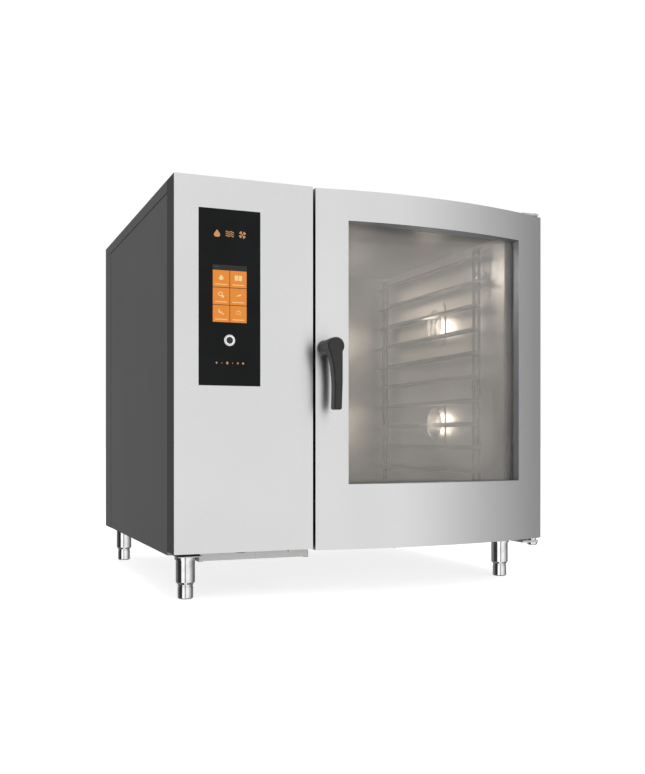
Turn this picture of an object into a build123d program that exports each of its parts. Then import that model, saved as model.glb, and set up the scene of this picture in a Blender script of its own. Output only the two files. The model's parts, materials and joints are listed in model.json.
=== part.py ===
from build123d import *
import os
from math import atan2, cos, sin, sqrt

os.makedirs("parts", exist_ok=True)

# A counter-top combi steamer for ten pairs of half-size trays.
# +X is to the right and +Y to the back, as seen by someone who faces the door. +Z is up.
# The origin lies on the floor, under the middle of the whole outline. All sizes are in mm.

# ---------------------------------------------------------------- driving dimensions
WIDTH = 1111.0
BODY_DEPTH = 1033.0
BODY_HEIGHT = 939.0
LEG_HEIGHT = 122.0
FRONT_Y = -486.0                     # front face of the control fascia
SHEET = 2.0                          # casing sheet

LEFT_X = -WIDTH / 2
RIGHT_X = WIDTH / 2
BACK_Y = FRONT_Y + BODY_DEPTH
BODY_BOTTOM = LEG_HEIGHT
BODY_TOP = LEG_HEIGHT + BODY_HEIGHT
FLOOR_PAN_Z = BODY_BOTTOM - 10.0     # underside of the bottom plate

# control fascia, a folded box in front of the left compartment
FASCIA_WIDTH = 365.2
FASCIA_RIGHT = LEFT_X + FASCIA_WIDTH
FASCIA_RETURN = 78.0                 # depth of the folded left side
GLASS_WIDTH = 160.0
GLASS_HEIGHT = 441.0
GLASS_X = LEFT_X + 62.0 + GLASS_WIDTH / 2
GLASS_Z = BODY_BOTTOM + 418.5 + GLASS_HEIGHT / 2
BUTTON_X = LEFT_X + 141.3
BUTTON_Z = BODY_BOTTOM + 532.0
BUTTON_RADIUS = 11.6

# oven frame, cavity and partition
FRAME_Y = FRONT_Y + 116.0            # front face of the oven frame behind the door
CAVITY_LEFT = LEFT_X + 426.0
CAVITY_RIGHT = LEFT_X + 1016.0
CAVITY_BACK = FRONT_Y + 936.0
CAVITY_FLOOR = BODY_BOTTOM + 100.0
CAVITY_CEILING = BODY_BOTTOM + 885.0
CAVITY_MIDDLE_X = (CAVITY_LEFT + CAVITY_RIGHT) / 2
LINER = 2.0
FAN_ROOM_LEFT = -263.5               # the fan turns between this wall and the baffle
FAN_ROOM_FRONT = FRAME_Y + 26.0
FAN_Y = 41.0
FAN_Z = (CAVITY_FLOOR + CAVITY_CEILING) / 2
FAN_RADIUS = 190.0
SHAFT_RADIUS = 9.0

# door: its skin is part of a cylinder with an upright axis
DOOR_LEFT = LEFT_X + 372.0
DOOR_RIGHT = RIGHT_X - 3.0
DOOR_BOTTOM = BODY_BOTTOM - 3.5
DOOR_TOP = DOOR_BOTTOM + 939.7
DOOR_RADIUS = 1400.0
DOOR_ARC_X = LEFT_X + 615.0
DOOR_ARC_Y = FRONT_Y - 23.0 + DOOR_RADIUS
DOOR_PAN_Y = FRONT_Y + 98.0          # front face of the flat inner frame
WINDOW_LEFT = LEFT_X + 459.5
WINDOW_RIGHT = LEFT_X + 1012.0
WINDOW_BOTTOM = BODY_BOTTOM + 167.0
WINDOW_TOP = BODY_BOTTOM + 856.0
WINDOW_Z = (WINDOW_BOTTOM + WINDOW_TOP) / 2
REVEAL = 29.0                        # how far the outer glass is set back at both window sides
HINGE_X = LEFT_X + 1088.0
HINGE_Y = FRONT_Y + 80.0
HINGE_PIN_RADIUS = 7.0
SEAL_WIDTH = 14.0

# handle and latch turn about one axis along Y
SPINDLE_X = LEFT_X + 396.5
SPINDLE_Z = BODY_BOTTOM + 520.5
SPINDLE_RADIUS = 5.0
HANDLE_FRONT = FRONT_Y - 86.0
HANDLE_END_Z = BODY_BOTTOM + 359.0
LATCH_HALF = 10.0

# tray racks
RAIL_PITCH = 72.4
RAIL_COUNT = 10
LOWEST_RAIL = BODY_BOTTOM + 180.0
ROD_RADIUS = 5.0
RACK_ROD_X = CAVITY_RIGHT - 22.0
PIN_RADIUS = 4.0
RACK_POSTS_Y = (FRONT_Y + 240.0, FRONT_Y + 888.0)
RACK_PIN_ZS = (BODY_BOTTOM + 277.0, BODY_BOTTOM + 780.0)

# lamps in the right cavity wall
LAMP_Y = FRONT_Y + 545.0
LAMP_ZS = (BODY_BOTTOM + 339.0, BODY_BOTTOM + 667.0)
LAMP_RADIUS = 56.0

# pipes and connections
VENT_X = 80.0
VENT_Y = 330.0
VENT_RADIUS = 40.0
VENT_TOP = BODY_TOP + 90.0
FLAP_Z = BODY_TOP + 24.0
AXLE_RADIUS = 3.0
DRAIN_RADIUS = 25.0
DRAIN_TUBE = 24.0                     # outside of the pipe before its swaged end
DRAIN_BORE = 22.5
DRAIN_Z = 170.0
INLET_XS = (-400.0, -330.0)
INLET_Z = 200.0
INLET_RADIUS = 13.2
FITTING_REACH = 25.0                 # how far the water inlets stand out of the back
GLAND_X = -470.0
GLAND_Z = 260.0

# legs and air filter
SLEEVE_RADIUS = 24.5
FOOT_RADIUS = 19.75
FOOT_HEIGHT = 37.0
STUD_RADIUS = 8.0
LEG_PLACES = {
    "foot_front_left": (LEFT_X + 49.0, FRONT_Y + 85.0),
    "foot_front_right": (RIGHT_X - 86.0, FRONT_Y + 158.0),
    "foot_back_left": (LEFT_X + 50.0, FRONT_Y + 963.0),
    "foot_back_right": (RIGHT_X - 50.0, FRONT_Y + 963.0),
}
FILTER_LEFT = LEFT_X + 80.0
FILTER_RIGHT = LEFT_X + 374.5
FILTER_X = (FILTER_LEFT + FILTER_RIGHT) / 2
FILTER_FRONT = FRONT_Y + 62.0
FILTER_DEPTH = 240.0
FILTER_BOTTOM = 96.0
FILTER_HEIGHT = 13.0
STRIP_TOP = 116.0                     # top of the filter's front strip, under the door

# ---------------------------------------------------------------- shared helpers


def skin_y(x, inset=0.0):
    """Y of the door's curved front at x, or of a surface that lies inset mm behind it."""
    return DOOR_ARC_Y - sqrt((DOOR_RADIUS - inset) ** 2 - (x - DOOR_ARC_X) ** 2)


def span(low, high, mode=Mode.ADD):
    """A box from its lowest corner to its highest corner."""
    middle = tuple((a + b) / 2 for a, b in zip(low, high))
    with Locations(middle):
        Box(high[0] - low[0], high[1] - low[1], high[2] - low[2], mode=mode)


def door_outline(inset, left, right, back):
    """Plan view of the door: the curved front, inset mm behind the skin, down to a flat back."""
    middle = (left + right) / 2
    front_left = (left, skin_y(left, inset))
    front_right = (right, skin_y(right, inset))
    arc = ThreePointArc(front_left, (middle, skin_y(middle, inset)), front_right)
    Polyline(front_right, (right, back), (left, back), front_left)
    return arc


# ================================================================ CABINET
# base frame: a C-section, open to the inside, with one cross member under the partition
FRAME_LOW = FLOOR_PAN_Z + SHEET
FRAME_SECTION = 30.0
BASE_FRONT = FRAME_Y + 4.0
BASE_BACK = BACK_Y - 4.0
BASE_LEFT = LEFT_X + 14.0
BASE_RIGHT = RIGHT_X - 14.0
with BuildPart() as base_frame:
    span((BASE_LEFT, BASE_FRONT, FRAME_LOW), (BASE_RIGHT, BASE_BACK, FRAME_LOW + FRAME_SECTION))
    span(
        (BASE_LEFT + FRAME_SECTION, BASE_FRONT + FRAME_SECTION, FRAME_LOW),
        (BASE_RIGHT - FRAME_SECTION, BASE_BACK - FRAME_SECTION, FRAME_LOW + FRAME_SECTION),
        Mode.SUBTRACT,
    )
    span(
        (BASE_LEFT + 2.5, BASE_FRONT + 2.5, FRAME_LOW + 2.5),
        (BASE_RIGHT - 2.5, BASE_BACK - 2.5, FRAME_LOW + FRAME_SECTION - 2.5),
        Mode.SUBTRACT,
    )
    span((-205.0, BASE_FRONT, FRAME_LOW), (-202.5, BASE_BACK, FRAME_LOW + FRAME_SECTION))
    # two arms that carry the control compartment in front of the oven frame
    for arm_x in (BASE_LEFT, FASCIA_RIGHT - 12.0):
        span(
            (arm_x, FRONT_Y + 20.0, BODY_BOTTOM + SHEET + 0.5),
            (arm_x + 3.0, BASE_FRONT, FRAME_LOW + FRAME_SECTION),
        )
base_frame.part.label = "base_frame"
export_step(base_frame.part, "parts/base_frame.step")

# bottom plate with a tab under the control compartment
with BuildPart() as bottom_plate:
    with BuildSketch(Plane.XY.offset(FLOOR_PAN_Z)):
        with BuildLine():
            Polyline(
                (BASE_LEFT, FRONT_Y + 16.0),
                (FILTER_LEFT - 3.0, FRONT_Y + 16.0),
                (FILTER_LEFT - 3.0, FILTER_FRONT + 8.0),
                (FASCIA_RIGHT - 4.0, FILTER_FRONT + 8.0),
                (FASCIA_RIGHT - 4.0, FRAME_Y + 3.0),
                (BASE_RIGHT, FRAME_Y + 3.0),
                (BASE_RIGHT, BACK_Y - 3.0),
                (BASE_LEFT, BACK_Y - 3.0),
                close=True,
            )
        make_face()
        with Locations((FILTER_X, FILTER_FRONT + FILTER_DEPTH / 2 + 10.0)):
            with GridLocations(0, 34.0, 1, 5):
                SlotOverall(230.0, 18.0, mode=Mode.SUBTRACT)
    extrude(amount=SHEET)
bottom_plate.part.label = "bottom_plate"
export_step(bottom_plate.part, "parts/bottom_plate.step")

# leg sleeves: four turned tubes with a conical lower end and a blind threaded core
with BuildPart() as leg_sleeves:
    for leg_x, leg_y in LEG_PLACES.values():
        with BuildSketch(Plane.XZ.offset(-leg_y)):
            with BuildLine():
                Polyline(
                    (leg_x, FOOT_HEIGHT + 0.5),
                    (leg_x + FOOT_RADIUS + 0.5, FOOT_HEIGHT + 0.5),
                    (leg_x + SLEEVE_RADIUS, FOOT_HEIGHT + 6.0),
                    (leg_x + SLEEVE_RADIUS, FLOOR_PAN_Z - 12.0),
                    (leg_x + SLEEVE_RADIUS + 3.0, FLOOR_PAN_Z - 12.0),
                    (leg_x + SLEEVE_RADIUS + 3.0, FLOOR_PAN_Z),
                    (leg_x, FLOOR_PAN_Z),
                    close=True,
                )
            make_face()
        revolve(axis=Axis((leg_x, leg_y, 0), (0, 0, 1)))
    with BuildSketch(Plane.XY.offset(FOOT_HEIGHT)):
        with Locations(*LEG_PLACES.values()):
            Circle(STUD_RADIUS + 0.06)
    extrude(amount=62.0, mode=Mode.SUBTRACT)
leg_sleeves.part.label = "leg_sleeves"
export_step(leg_sleeves.part, "parts/leg_sleeves.step")

# adjustable feet: a turned foot with a ring groove, and its stud
for foot_name, (foot_x, foot_y) in LEG_PLACES.items():
    with BuildPart() as foot:
        with BuildSketch(Plane.XZ.offset(-foot_y)):
            with BuildLine():
                Polyline(
                    (foot_x, 0.0),
                    (foot_x + FOOT_RADIUS - 3.0, 0.0),
                    (foot_x + FOOT_RADIUS, 3.0),
                    (foot_x + FOOT_RADIUS, FOOT_HEIGHT - 6.0),
                    (foot_x + FOOT_RADIUS - 1.2, FOOT_HEIGHT - 5.0),
                    (foot_x + FOOT_RADIUS - 1.2, FOOT_HEIGHT - 3.0),
                    (foot_x + FOOT_RADIUS, FOOT_HEIGHT - 2.0),
                    (foot_x + FOOT_RADIUS, FOOT_HEIGHT),
                    (foot_x + STUD_RADIUS, FOOT_HEIGHT),
                    (foot_x + STUD_RADIUS, FOOT_HEIGHT + 56.0),
                    (foot_x + STUD_RADIUS - 1.5, FOOT_HEIGHT + 58.0),
                    (foot_x, FOOT_HEIGHT + 58.0),
                    close=True,
                )
            make_face()
        revolve(axis=Axis((foot_x, foot_y, 0), (0, 0, 1)))
    foot.part.label = foot_name
    export_step(foot.part, f"parts/{foot_name}.step")

# side panels: flat trays whose rims are folded inwards; they sit a little inside the fascia's side
PANEL_INSET = 1.5
PANEL_FRONT = FRONT_Y + FASCIA_RETURN + 1.5
PANEL_BACK = FRONT_Y + 938.0
LIP = 30.0                           # down-turned rim of the top cover
PANEL_TOP = BODY_TOP - LIP - 0.8
RIM = 12.0
PANEL_OUTER = LEFT_X + PANEL_INSET
with BuildPart() as left_side_panel:
    span((PANEL_OUTER, PANEL_FRONT, FLOOR_PAN_Z), (PANEL_OUTER + RIM, PANEL_BACK - 1.0, PANEL_TOP))
    span(
        (PANEL_OUTER + SHEET, PANEL_FRONT + SHEET, FLOOR_PAN_Z - 1.0),
        (PANEL_OUTER + RIM + 1.0, PANEL_BACK - 1.0 - SHEET, PANEL_TOP - SHEET),
        Mode.SUBTRACT,
    )
left_side_panel.part.label = "left_side_panel"
export_step(left_side_panel.part, "parts/left_side_panel.step")

with BuildPart() as right_side_panel:
    span((-PANEL_OUTER - RIM, FRAME_Y + 2.5, FLOOR_PAN_Z), (-PANEL_OUTER, PANEL_BACK - 1.0, PANEL_TOP))
    span(
        (-PANEL_OUTER - RIM - 1.0, FRAME_Y + 2.5 + SHEET, FLOOR_PAN_Z - 1.0),
        (-PANEL_OUTER - SHEET, PANEL_BACK - 1.0 - SHEET, PANEL_TOP - SHEET),
        Mode.SUBTRACT,
    )
right_side_panel.part.label = "right_side_panel"
export_step(right_side_panel.part, "parts/right_side_panel.step")

# rear panel: a tray with deep sides, two louvred fields and holes for the connections
with BuildPart() as rear_panel:
    span((LEFT_X, PANEL_BACK, FLOOR_PAN_Z), (RIGHT_X, BACK_Y, PANEL_TOP))
    span(
        (LEFT_X + SHEET, PANEL_BACK - 1.0, FLOOR_PAN_Z - 1.0),
        (RIGHT_X - SHEET, BACK_Y - SHEET, PANEL_TOP + 1.0),
        Mode.SUBTRACT,
    )
    with BuildSketch(Plane.XZ.offset(-BACK_Y)):
        with Locations((-430.0, 820.0)):
            with GridLocations(0, 24.0, 1, 9):
                SlotOverall(130.0, 8.0)
        with Locations((-430.0, 440.0)):
            with GridLocations(0, 24.0, 1, 9):
                SlotOverall(130.0, 8.0)
        with Locations((CAVITY_MIDDLE_X, DRAIN_Z)):
            Circle(DRAIN_RADIUS + 1.0)
        with Locations(*[(x, INLET_Z) for x in INLET_XS]):
            Circle(INLET_RADIUS + 0.3)
        with Locations((GLAND_X, GLAND_Z)):
            Circle(12.3)
    extrude(amount=10.0, both=True, mode=Mode.SUBTRACT)
rear_panel.part.label = "rear_panel"
export_step(rear_panel.part, "parts/rear_panel.step")

# top cover: one sheet with a down-turned rim at both sides and the back
with BuildPart() as top_cover:
    with BuildSketch(Plane.XY.offset(BODY_TOP - SHEET)):
        with BuildLine():
            Polyline(
                (LEFT_X, PANEL_FRONT),
                (FASCIA_RIGHT, PANEL_FRONT),
                (FASCIA_RIGHT, FRAME_Y),
                (RIGHT_X, FRAME_Y),
                (RIGHT_X, BACK_Y),
                (LEFT_X, BACK_Y),
                close=True,
            )
        make_face()
        with Locations((VENT_X, VENT_Y)):
            Circle(VENT_RADIUS + 1.0, mode=Mode.SUBTRACT)
    extrude(amount=SHEET)
    LIP_LOW = BODY_TOP - LIP
    LIP_SHEET = PANEL_INSET - 0.1
    span((LEFT_X, PANEL_FRONT, LIP_LOW), (LEFT_X + LIP_SHEET, BACK_Y, BODY_TOP))
    span((RIGHT_X - LIP_SHEET, FRAME_Y, LIP_LOW), (RIGHT_X, BACK_Y, BODY_TOP))
    span((LEFT_X, BACK_Y - LIP_SHEET, LIP_LOW), (RIGHT_X, BACK_Y, BODY_TOP))
    # a shallow stiffening bead pressed up in the middle of the sheet
    with BuildSketch(Plane.XY.offset(BODY_TOP)):
        with Locations((CAVITY_MIDDLE_X + 120.0, -60.0)):
            RectangleRounded(460.0, 420.0, 30.0)
            RectangleRounded(436.0, 396.0, 20.0, mode=Mode.SUBTRACT)
    extrude(amount=2.5)
top_cover.part.label = "top_cover"
export_step(top_cover.part, "parts/top_cover.step")

# control fascia: a folded box, open at the back, with the cut-out that the glass lies in
with BuildPart() as control_fascia:
    span((LEFT_X, FRONT_Y, BODY_BOTTOM), (FASCIA_RIGHT, FRAME_Y - 2.0, BODY_TOP))
    span(
        (LEFT_X + SHEET, FRONT_Y + SHEET, BODY_BOTTOM + SHEET),
        (FASCIA_RIGHT - SHEET, FRAME_Y, BODY_TOP - SHEET),
        Mode.SUBTRACT,
    )
    span(
        (LEFT_X - 1.0, FRONT_Y + FASCIA_RETURN, BODY_BOTTOM - 1.0),
        (FASCIA_RIGHT - SHEET, FRAME_Y, BODY_TOP + 1.0),
        Mode.SUBTRACT,
    )
    span(
        (FASCIA_RIGHT - SHEET - 1.0, FRONT_Y + FASCIA_RETURN, BODY_TOP - SHEET - 0.5),
        (FASCIA_RIGHT + 1.0, FRAME_Y, BODY_TOP + 1.0),
        Mode.SUBTRACT,
    )
    with BuildSketch(Plane.XZ.offset(-FRONT_Y)):
        with Locations((GLASS_X, GLASS_Z)):
            RectangleRounded(GLASS_WIDTH + 0.8, GLASS_HEIGHT + 0.8, 1.6)
    extrude(amount=6.0, both=True, mode=Mode.SUBTRACT)
control_fascia.part.label = "control_fascia"
export_step(control_fascia.part, "parts/control_fascia.step")

# control glass: black glass, nearly flush, with a hole for the start button
GLASS_FRONT = FRONT_Y - 0.8
with BuildPart() as control_glass:
    with BuildSketch(Plane.XZ.offset(-GLASS_FRONT)):
        with Locations((GLASS_X, GLASS_Z)):
            RectangleRounded(GLASS_WIDTH, GLASS_HEIGHT, 1.2)
        with Locations((BUTTON_X, BUTTON_Z)):
            Circle(14.1, mode=Mode.SUBTRACT)
    extrude(amount=-4.0)
control_glass.part.label = "control_glass"
export_step(control_glass.part, "parts/control_glass.step")

# display module: the screen and a carrier tray that holds the glass from behind
SCREEN_X = LEFT_X + 141.6
SCREEN_Z = BODY_BOTTOM + 648.0
with BuildPart() as touch_display:
    with BuildSketch(Plane.XZ.offset(-(GLASS_FRONT + 4.0))):
        with Locations((SCREEN_X, SCREEN_Z)):
            Rectangle(98.0, 158.0)
    extrude(amount=-9.0)
    with BuildSketch(Plane.XZ.offset(-(GLASS_FRONT + 13.0))):
        with Locations((SCREEN_X, SCREEN_Z)):
            Rectangle(112.0, 176.0)
    extrude(amount=-3.0)
touch_display.part.label = "touch_display"
export_step(touch_display.part, "parts/touch_display.step")

# white ring that guides the start button
with BuildPart() as button_ring:
    with BuildSketch(Plane.XZ.offset(-(GLASS_FRONT - 0.4))):
        with Locations((BUTTON_X, BUTTON_Z)):
            Circle(14.0)
            Circle(BUTTON_RADIUS + 0.4, mode=Mode.SUBTRACT)
    extrude(amount=-10.0)
    with BuildSketch(Plane.XZ.offset(-(GLASS_FRONT + 4.0))):
        with Locations((BUTTON_X, BUTTON_Z)):
            Circle(17.0)
            Circle(BUTTON_RADIUS + 0.4, mode=Mode.SUBTRACT)
    extrude(amount=-3.0)
button_ring.part.label = "button_ring"
export_step(button_ring.part, "parts/button_ring.step")

# start button: a round cap with a dished front
with BuildPart() as start_button:
    with BuildSketch(Plane.XZ.offset(-(GLASS_FRONT - 0.8))):
        with Locations((BUTTON_X, BUTTON_Z)):
            Circle(BUTTON_RADIUS)
    extrude(amount=-8.0)
    fillet(start_button.edges().filter_by(GeomType.CIRCLE).group_by(Axis.Y)[0], radius=0.7)
    with BuildSketch(Plane.XZ.offset(-(GLASS_FRONT + 7.2))):
        with Locations((BUTTON_X, BUTTON_Z)):
            Circle(3.0)
    extrude(amount=-3.5)
start_button.part.label = "start_button"
export_step(start_button.part, "parts/start_button.step")

# control board behind the display, with its connectors and the start button's switch
BOARD_Y = FRONT_Y + 24.0
with BuildPart() as control_board:
    span((-510.0, BOARD_Y, 560.0), (-320.0, BOARD_Y + 1.8, 960.0))
    for plug_z in (600.0, 720.0, 860.0):
        span((-500.0, BOARD_Y + 1.8, plug_z), (-478.0, BOARD_Y + 14.0, plug_z + 60.0))
    for chip_z in (640.0, 760.0, 900.0):
        span((-440.0, BOARD_Y + 1.8, chip_z), (-400.0, BOARD_Y + 5.0, chip_z + 40.0))
    span((BUTTON_X - 6.0, BOARD_Y - 8.0, BUTTON_Z - 6.0), (BUTTON_X + 6.0, BOARD_Y, BUTTON_Z + 6.0))
    with BuildSketch(Plane.XZ.offset(-(FRONT_Y + SHEET))):
        with Locations((-415.0, 760.0)):
            with GridLocations(178.0, 384.0, 2, 2):
                Circle(4.0)
    extrude(amount=-(BOARD_Y - FRONT_Y - SHEET))
control_board.part.label = "control_board"
export_step(control_board.part, "parts/control_board.step")

# cavity liner: a tub of sheets butted at the corners, deeper on the left, where the fan room
# has its own front wall; the walls stop a seam's width short of each other
LINER_BOTTOM = CAVITY_FLOOR - LINER
LINER_TOP = CAVITY_CEILING + LINER
LINER_RIGHT = CAVITY_RIGHT + LINER
LINER_BACK = CAVITY_BACK + LINER
MOUTH_Y = FRAME_Y + SHEET
SEAM = 0.1
ROOM_FRONT = FAN_ROOM_FRONT - LINER
WALL_LOW = CAVITY_FLOOR + SEAM
WALL_HIGH = CAVITY_CEILING - SEAM
WATER_PIPE_X = -148.0
WATER_PIPE_RADIUS = 5.0
TUBE_RADIUS = 4.25
LEAD_RADIUS = 3.4
ELEMENT_RINGS = ((34.0, 208.0, -118.0), (52.0, 222.0, -96.0), (70.0, 236.0, -74.0))  # depth, radius, lead
with BuildPart() as cavity_liner:
    # floor and ceiling, each in one piece under or over the fan room too
    for low, high in ((LINER_BOTTOM, CAVITY_FLOOR), (CAVITY_CEILING, LINER_TOP)):
        span((CAVITY_LEFT - LINER, MOUTH_Y, low), (LINER_RIGHT, LINER_BACK, high))
        span((FAN_ROOM_LEFT - LINER, ROOM_FRONT, low), (CAVITY_RIGHT, LINER_BACK, high))
    # right wall, back wall, fan room's left and front walls, and the short wall by the door
    span((CAVITY_RIGHT, MOUTH_Y, WALL_LOW), (LINER_RIGHT, CAVITY_BACK - SEAM, WALL_HIGH))
    span((FAN_ROOM_LEFT - LINER, CAVITY_BACK, WALL_LOW), (LINER_RIGHT, LINER_BACK, WALL_HIGH))
    span(
        (FAN_ROOM_LEFT - LINER, FAN_ROOM_FRONT + SEAM, WALL_LOW),
        (FAN_ROOM_LEFT, CAVITY_BACK - SEAM, WALL_HIGH),
    )
    span((FAN_ROOM_LEFT - LINER, ROOM_FRONT, WALL_LOW), (CAVITY_LEFT, FAN_ROOM_FRONT, WALL_HIGH))
    span((CAVITY_LEFT - LINER, MOUTH_Y, WALL_LOW), (CAVITY_LEFT, ROOM_FRONT - SEAM, WALL_HIGH))
    # lamp openings in the right wall
    with BuildSketch(Plane.YZ.offset(CAVITY_RIGHT - 5.0)):
        with Locations(*[(LAMP_Y, z) for z in LAMP_ZS]):
            Circle(LAMP_RADIUS + 0.5)
    extrude(amount=15.0, mode=Mode.SUBTRACT)
    # shaft hole and element leads in the left wall
    with BuildSketch(Plane.YZ.offset(FAN_ROOM_LEFT - 10.0)):
        with Locations((FAN_Y, FAN_Z)):
            Circle(SHAFT_RADIUS + 0.5)
            for _, ring_radius, lead_angle in ELEMENT_RINGS:
                with PolarLocations(ring_radius, 2, start_angle=lead_angle, angular_range=8.0):
                    Circle(LEAD_RADIUS + 0.1)
    extrude(amount=15.0, mode=Mode.SUBTRACT)
    # drain in the floor, vent and water pipe in the ceiling
    with BuildSketch(Plane.XY.offset(LINER_BOTTOM - 5.0)):
        with Locations((CAVITY_MIDDLE_X, FAN_Y)):
            Circle(DRAIN_BORE)
    extrude(amount=12.0, mode=Mode.SUBTRACT)
    with BuildSketch(Plane.XY.offset(CAVITY_CEILING - 5.0)):
        with Locations((VENT_X, VENT_Y)):
            Circle(VENT_RADIUS + 0.1)
        with Locations((WATER_PIPE_X, FAN_Y)):
            Circle(WATER_PIPE_RADIUS + 0.1)
    extrude(amount=12.0, mode=Mode.SUBTRACT)
cavity_liner.part.label = "cavity_liner"
export_step(cavity_liner.part, "parts/cavity_liner.step")

# oven frame: flat bars round the cavity mouth, with the latch hole in the left one
FRAME_LEFT = FASCIA_RIGHT + 2.0
FRAME_RIGHT = RIGHT_X - 2.0
FRAME_BOTTOM = FLOOR_PAN_Z + SHEET + 0.5
FRAME_TOP = BODY_TOP - SHEET - 0.5
with BuildPart() as front_frame:
    for left, right in ((FRAME_LEFT, CAVITY_LEFT), (CAVITY_RIGHT, FRAME_RIGHT)):
        span((left, FRAME_Y, FRAME_BOTTOM), (right, MOUTH_Y, FRAME_TOP))
    for low, high in ((FRAME_BOTTOM, CAVITY_FLOOR), (CAVITY_CEILING, FRAME_TOP)):
        span((CAVITY_LEFT + SEAM, FRAME_Y, low), (CAVITY_RIGHT - SEAM, MOUTH_Y, high))
    with BuildSketch(Plane.XZ.offset(-FRAME_Y)):
        with Locations((SPINDLE_X, SPINDLE_Z)):
            Circle(LATCH_HALF + 1.5)
    extrude(amount=-SHEET, mode=Mode.SUBTRACT)
front_frame.part.label = "front_frame"
export_step(front_frame.part, "parts/front_frame.step")

# door seal: a silicone ring that stands off the oven frame and meets the inner glass
GLASS_BACK_Y = DOOR_PAN_Y + 8.0
SEAL_GAP = 1.5
with BuildPart() as door_gasket:
    with BuildSketch(Plane.XZ.offset(-FRAME_Y)):
        with Locations((CAVITY_MIDDLE_X, FAN_Z)):
            RectangleRounded(
                CAVITY_RIGHT - CAVITY_LEFT + 2 * (SEAL_GAP + SEAL_WIDTH),
                CAVITY_CEILING - CAVITY_FLOOR + 2 * (SEAL_GAP + SEAL_WIDTH),
                SEAL_WIDTH,
            )
            RectangleRounded(
                CAVITY_RIGHT - CAVITY_LEFT + 2 * SEAL_GAP,
                CAVITY_CEILING - CAVITY_FLOOR + 2 * SEAL_GAP,
                3.0,
                mode=Mode.SUBTRACT,
            )
    extrude(amount=FRAME_Y - GLASS_BACK_Y - 0.3)
    seal_front = door_gasket.faces().sort_by(Axis.Y)[0]
    fillet(seal_front.outer_wire().edges(), radius=3.0)
door_gasket.part.label = "door_gasket"
export_step(door_gasket.part, "parts/door_gasket.step")

# insulation: a mineral wool jacket round the liner, cut out for everything that crosses it
WOOL = 38.0
with BuildPart() as insulation:
    span(
        (FAN_ROOM_LEFT - LINER - WOOL, FAN_ROOM_FRONT - LINER - 18.0, LINER_BOTTOM - WOOL),
        (LINER_RIGHT + WOOL, LINER_BACK + WOOL, LINER_TOP + WOOL),
    )
    span(
        (FAN_ROOM_LEFT - LINER - 0.5, FAN_ROOM_FRONT - LINER - 0.5, LINER_BOTTOM - 0.5),
        (LINER_RIGHT + 0.5, LINER_BACK + 0.5, LINER_TOP + 0.5),
        Mode.SUBTRACT,
    )
    span(
        (CAVITY_LEFT - LINER - 52.0, FRAME_Y, LINER_BOTTOM - 0.5),
        (LINER_RIGHT + 0.5, LINER_BACK, LINER_TOP + 0.5),
        Mode.SUBTRACT,
    )
    # lamp housings
    for lamp_z in LAMP_ZS:
        span(
            (CAVITY_RIGHT, LAMP_Y - 71.0, lamp_z - 71.0),
            (LINER_RIGHT + WOOL + 1.0, LAMP_Y + 71.0, lamp_z + 71.0),
            Mode.SUBTRACT,
        )
    # motor shaft with its four spacers, and the element terminals
    with BuildSketch(Plane.YZ.offset(FAN_ROOM_LEFT - LINER - WOOL - 1.0)):
        with Locations((FAN_Y, FAN_Z)):
            Circle(22.0)
            with GridLocations(200.0, 200.0, 2, 2):
                Circle(10.0)
        with Locations((FAN_Y, FAN_Z - 210.0)):
            Rectangle(290.0, 90.0)
    extrude(amount=WOOL + 2.0, mode=Mode.SUBTRACT)
    # drain pipe, its run to the back, the vent pipe and the water pipe
    span(
        (CAVITY_MIDDLE_X - 28.0, FAN_Y - 28.0, LINER_BOTTOM - WOOL - 1.0),
        (CAVITY_MIDDLE_X + 28.0, LINER_BACK + WOOL + 1.0, LINER_BOTTOM),
        Mode.SUBTRACT,
    )
    span(
        (CAVITY_MIDDLE_X - 28.0, LINER_BACK, LINER_BOTTOM - WOOL - 1.0),
        (CAVITY_MIDDLE_X + 28.0, LINER_BACK + WOOL + 1.0, DRAIN_Z + DRAIN_RADIUS + 30.0),
        Mode.SUBTRACT,
    )
    with BuildSketch(Plane.XY.offset(LINER_TOP)):
        with Locations((VENT_X, VENT_Y)):
            Circle(VENT_RADIUS + 3.0)
        with Locations((WATER_PIPE_X, FAN_Y)):
            Circle(9.0)
    extrude(amount=WOOL + 2.0, mode=Mode.SUBTRACT)
insulation.part.label = "insulation"
export_step(insulation.part, "parts/insulation.step")

# fan baffle: the removable left wall of the cavity, with the round intake grille
BAFFLE_LOW = CAVITY_FLOOR + 18.0
BAFFLE_HIGH = CAVITY_CEILING - 18.0
with BuildPart() as fan_baffle:
    span(
        (CAVITY_LEFT - LINER, FAN_ROOM_FRONT + 2.0, BAFFLE_LOW),
        (CAVITY_LEFT, CAVITY_BACK - 26.0, BAFFLE_HIGH),
    )
    with BuildSketch(Plane.YZ.offset(CAVITY_LEFT - LINER - 3.0)):
        with Locations((FAN_Y, FAN_Z)):
            for ring in range(1, 8):
                with PolarLocations(ring * 20.0, ring * 6):
                    Circle(7.0)
            Circle(7.0)
    extrude(amount=LINER + 6.0, mode=Mode.SUBTRACT)
    # four studs that hold it off the fan room's wall
    with BuildSketch(Plane.YZ.offset(FAN_ROOM_LEFT)):
        with Locations((FAN_Y, FAN_Z)):
            with GridLocations(640.0, 640.0, 2, 2):
                Circle(6.0)
    extrude(amount=CAVITY_LEFT - LINER - FAN_ROOM_LEFT)
fan_baffle.part.label = "fan_baffle"
export_step(fan_baffle.part, "parts/fan_baffle.step")

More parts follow.
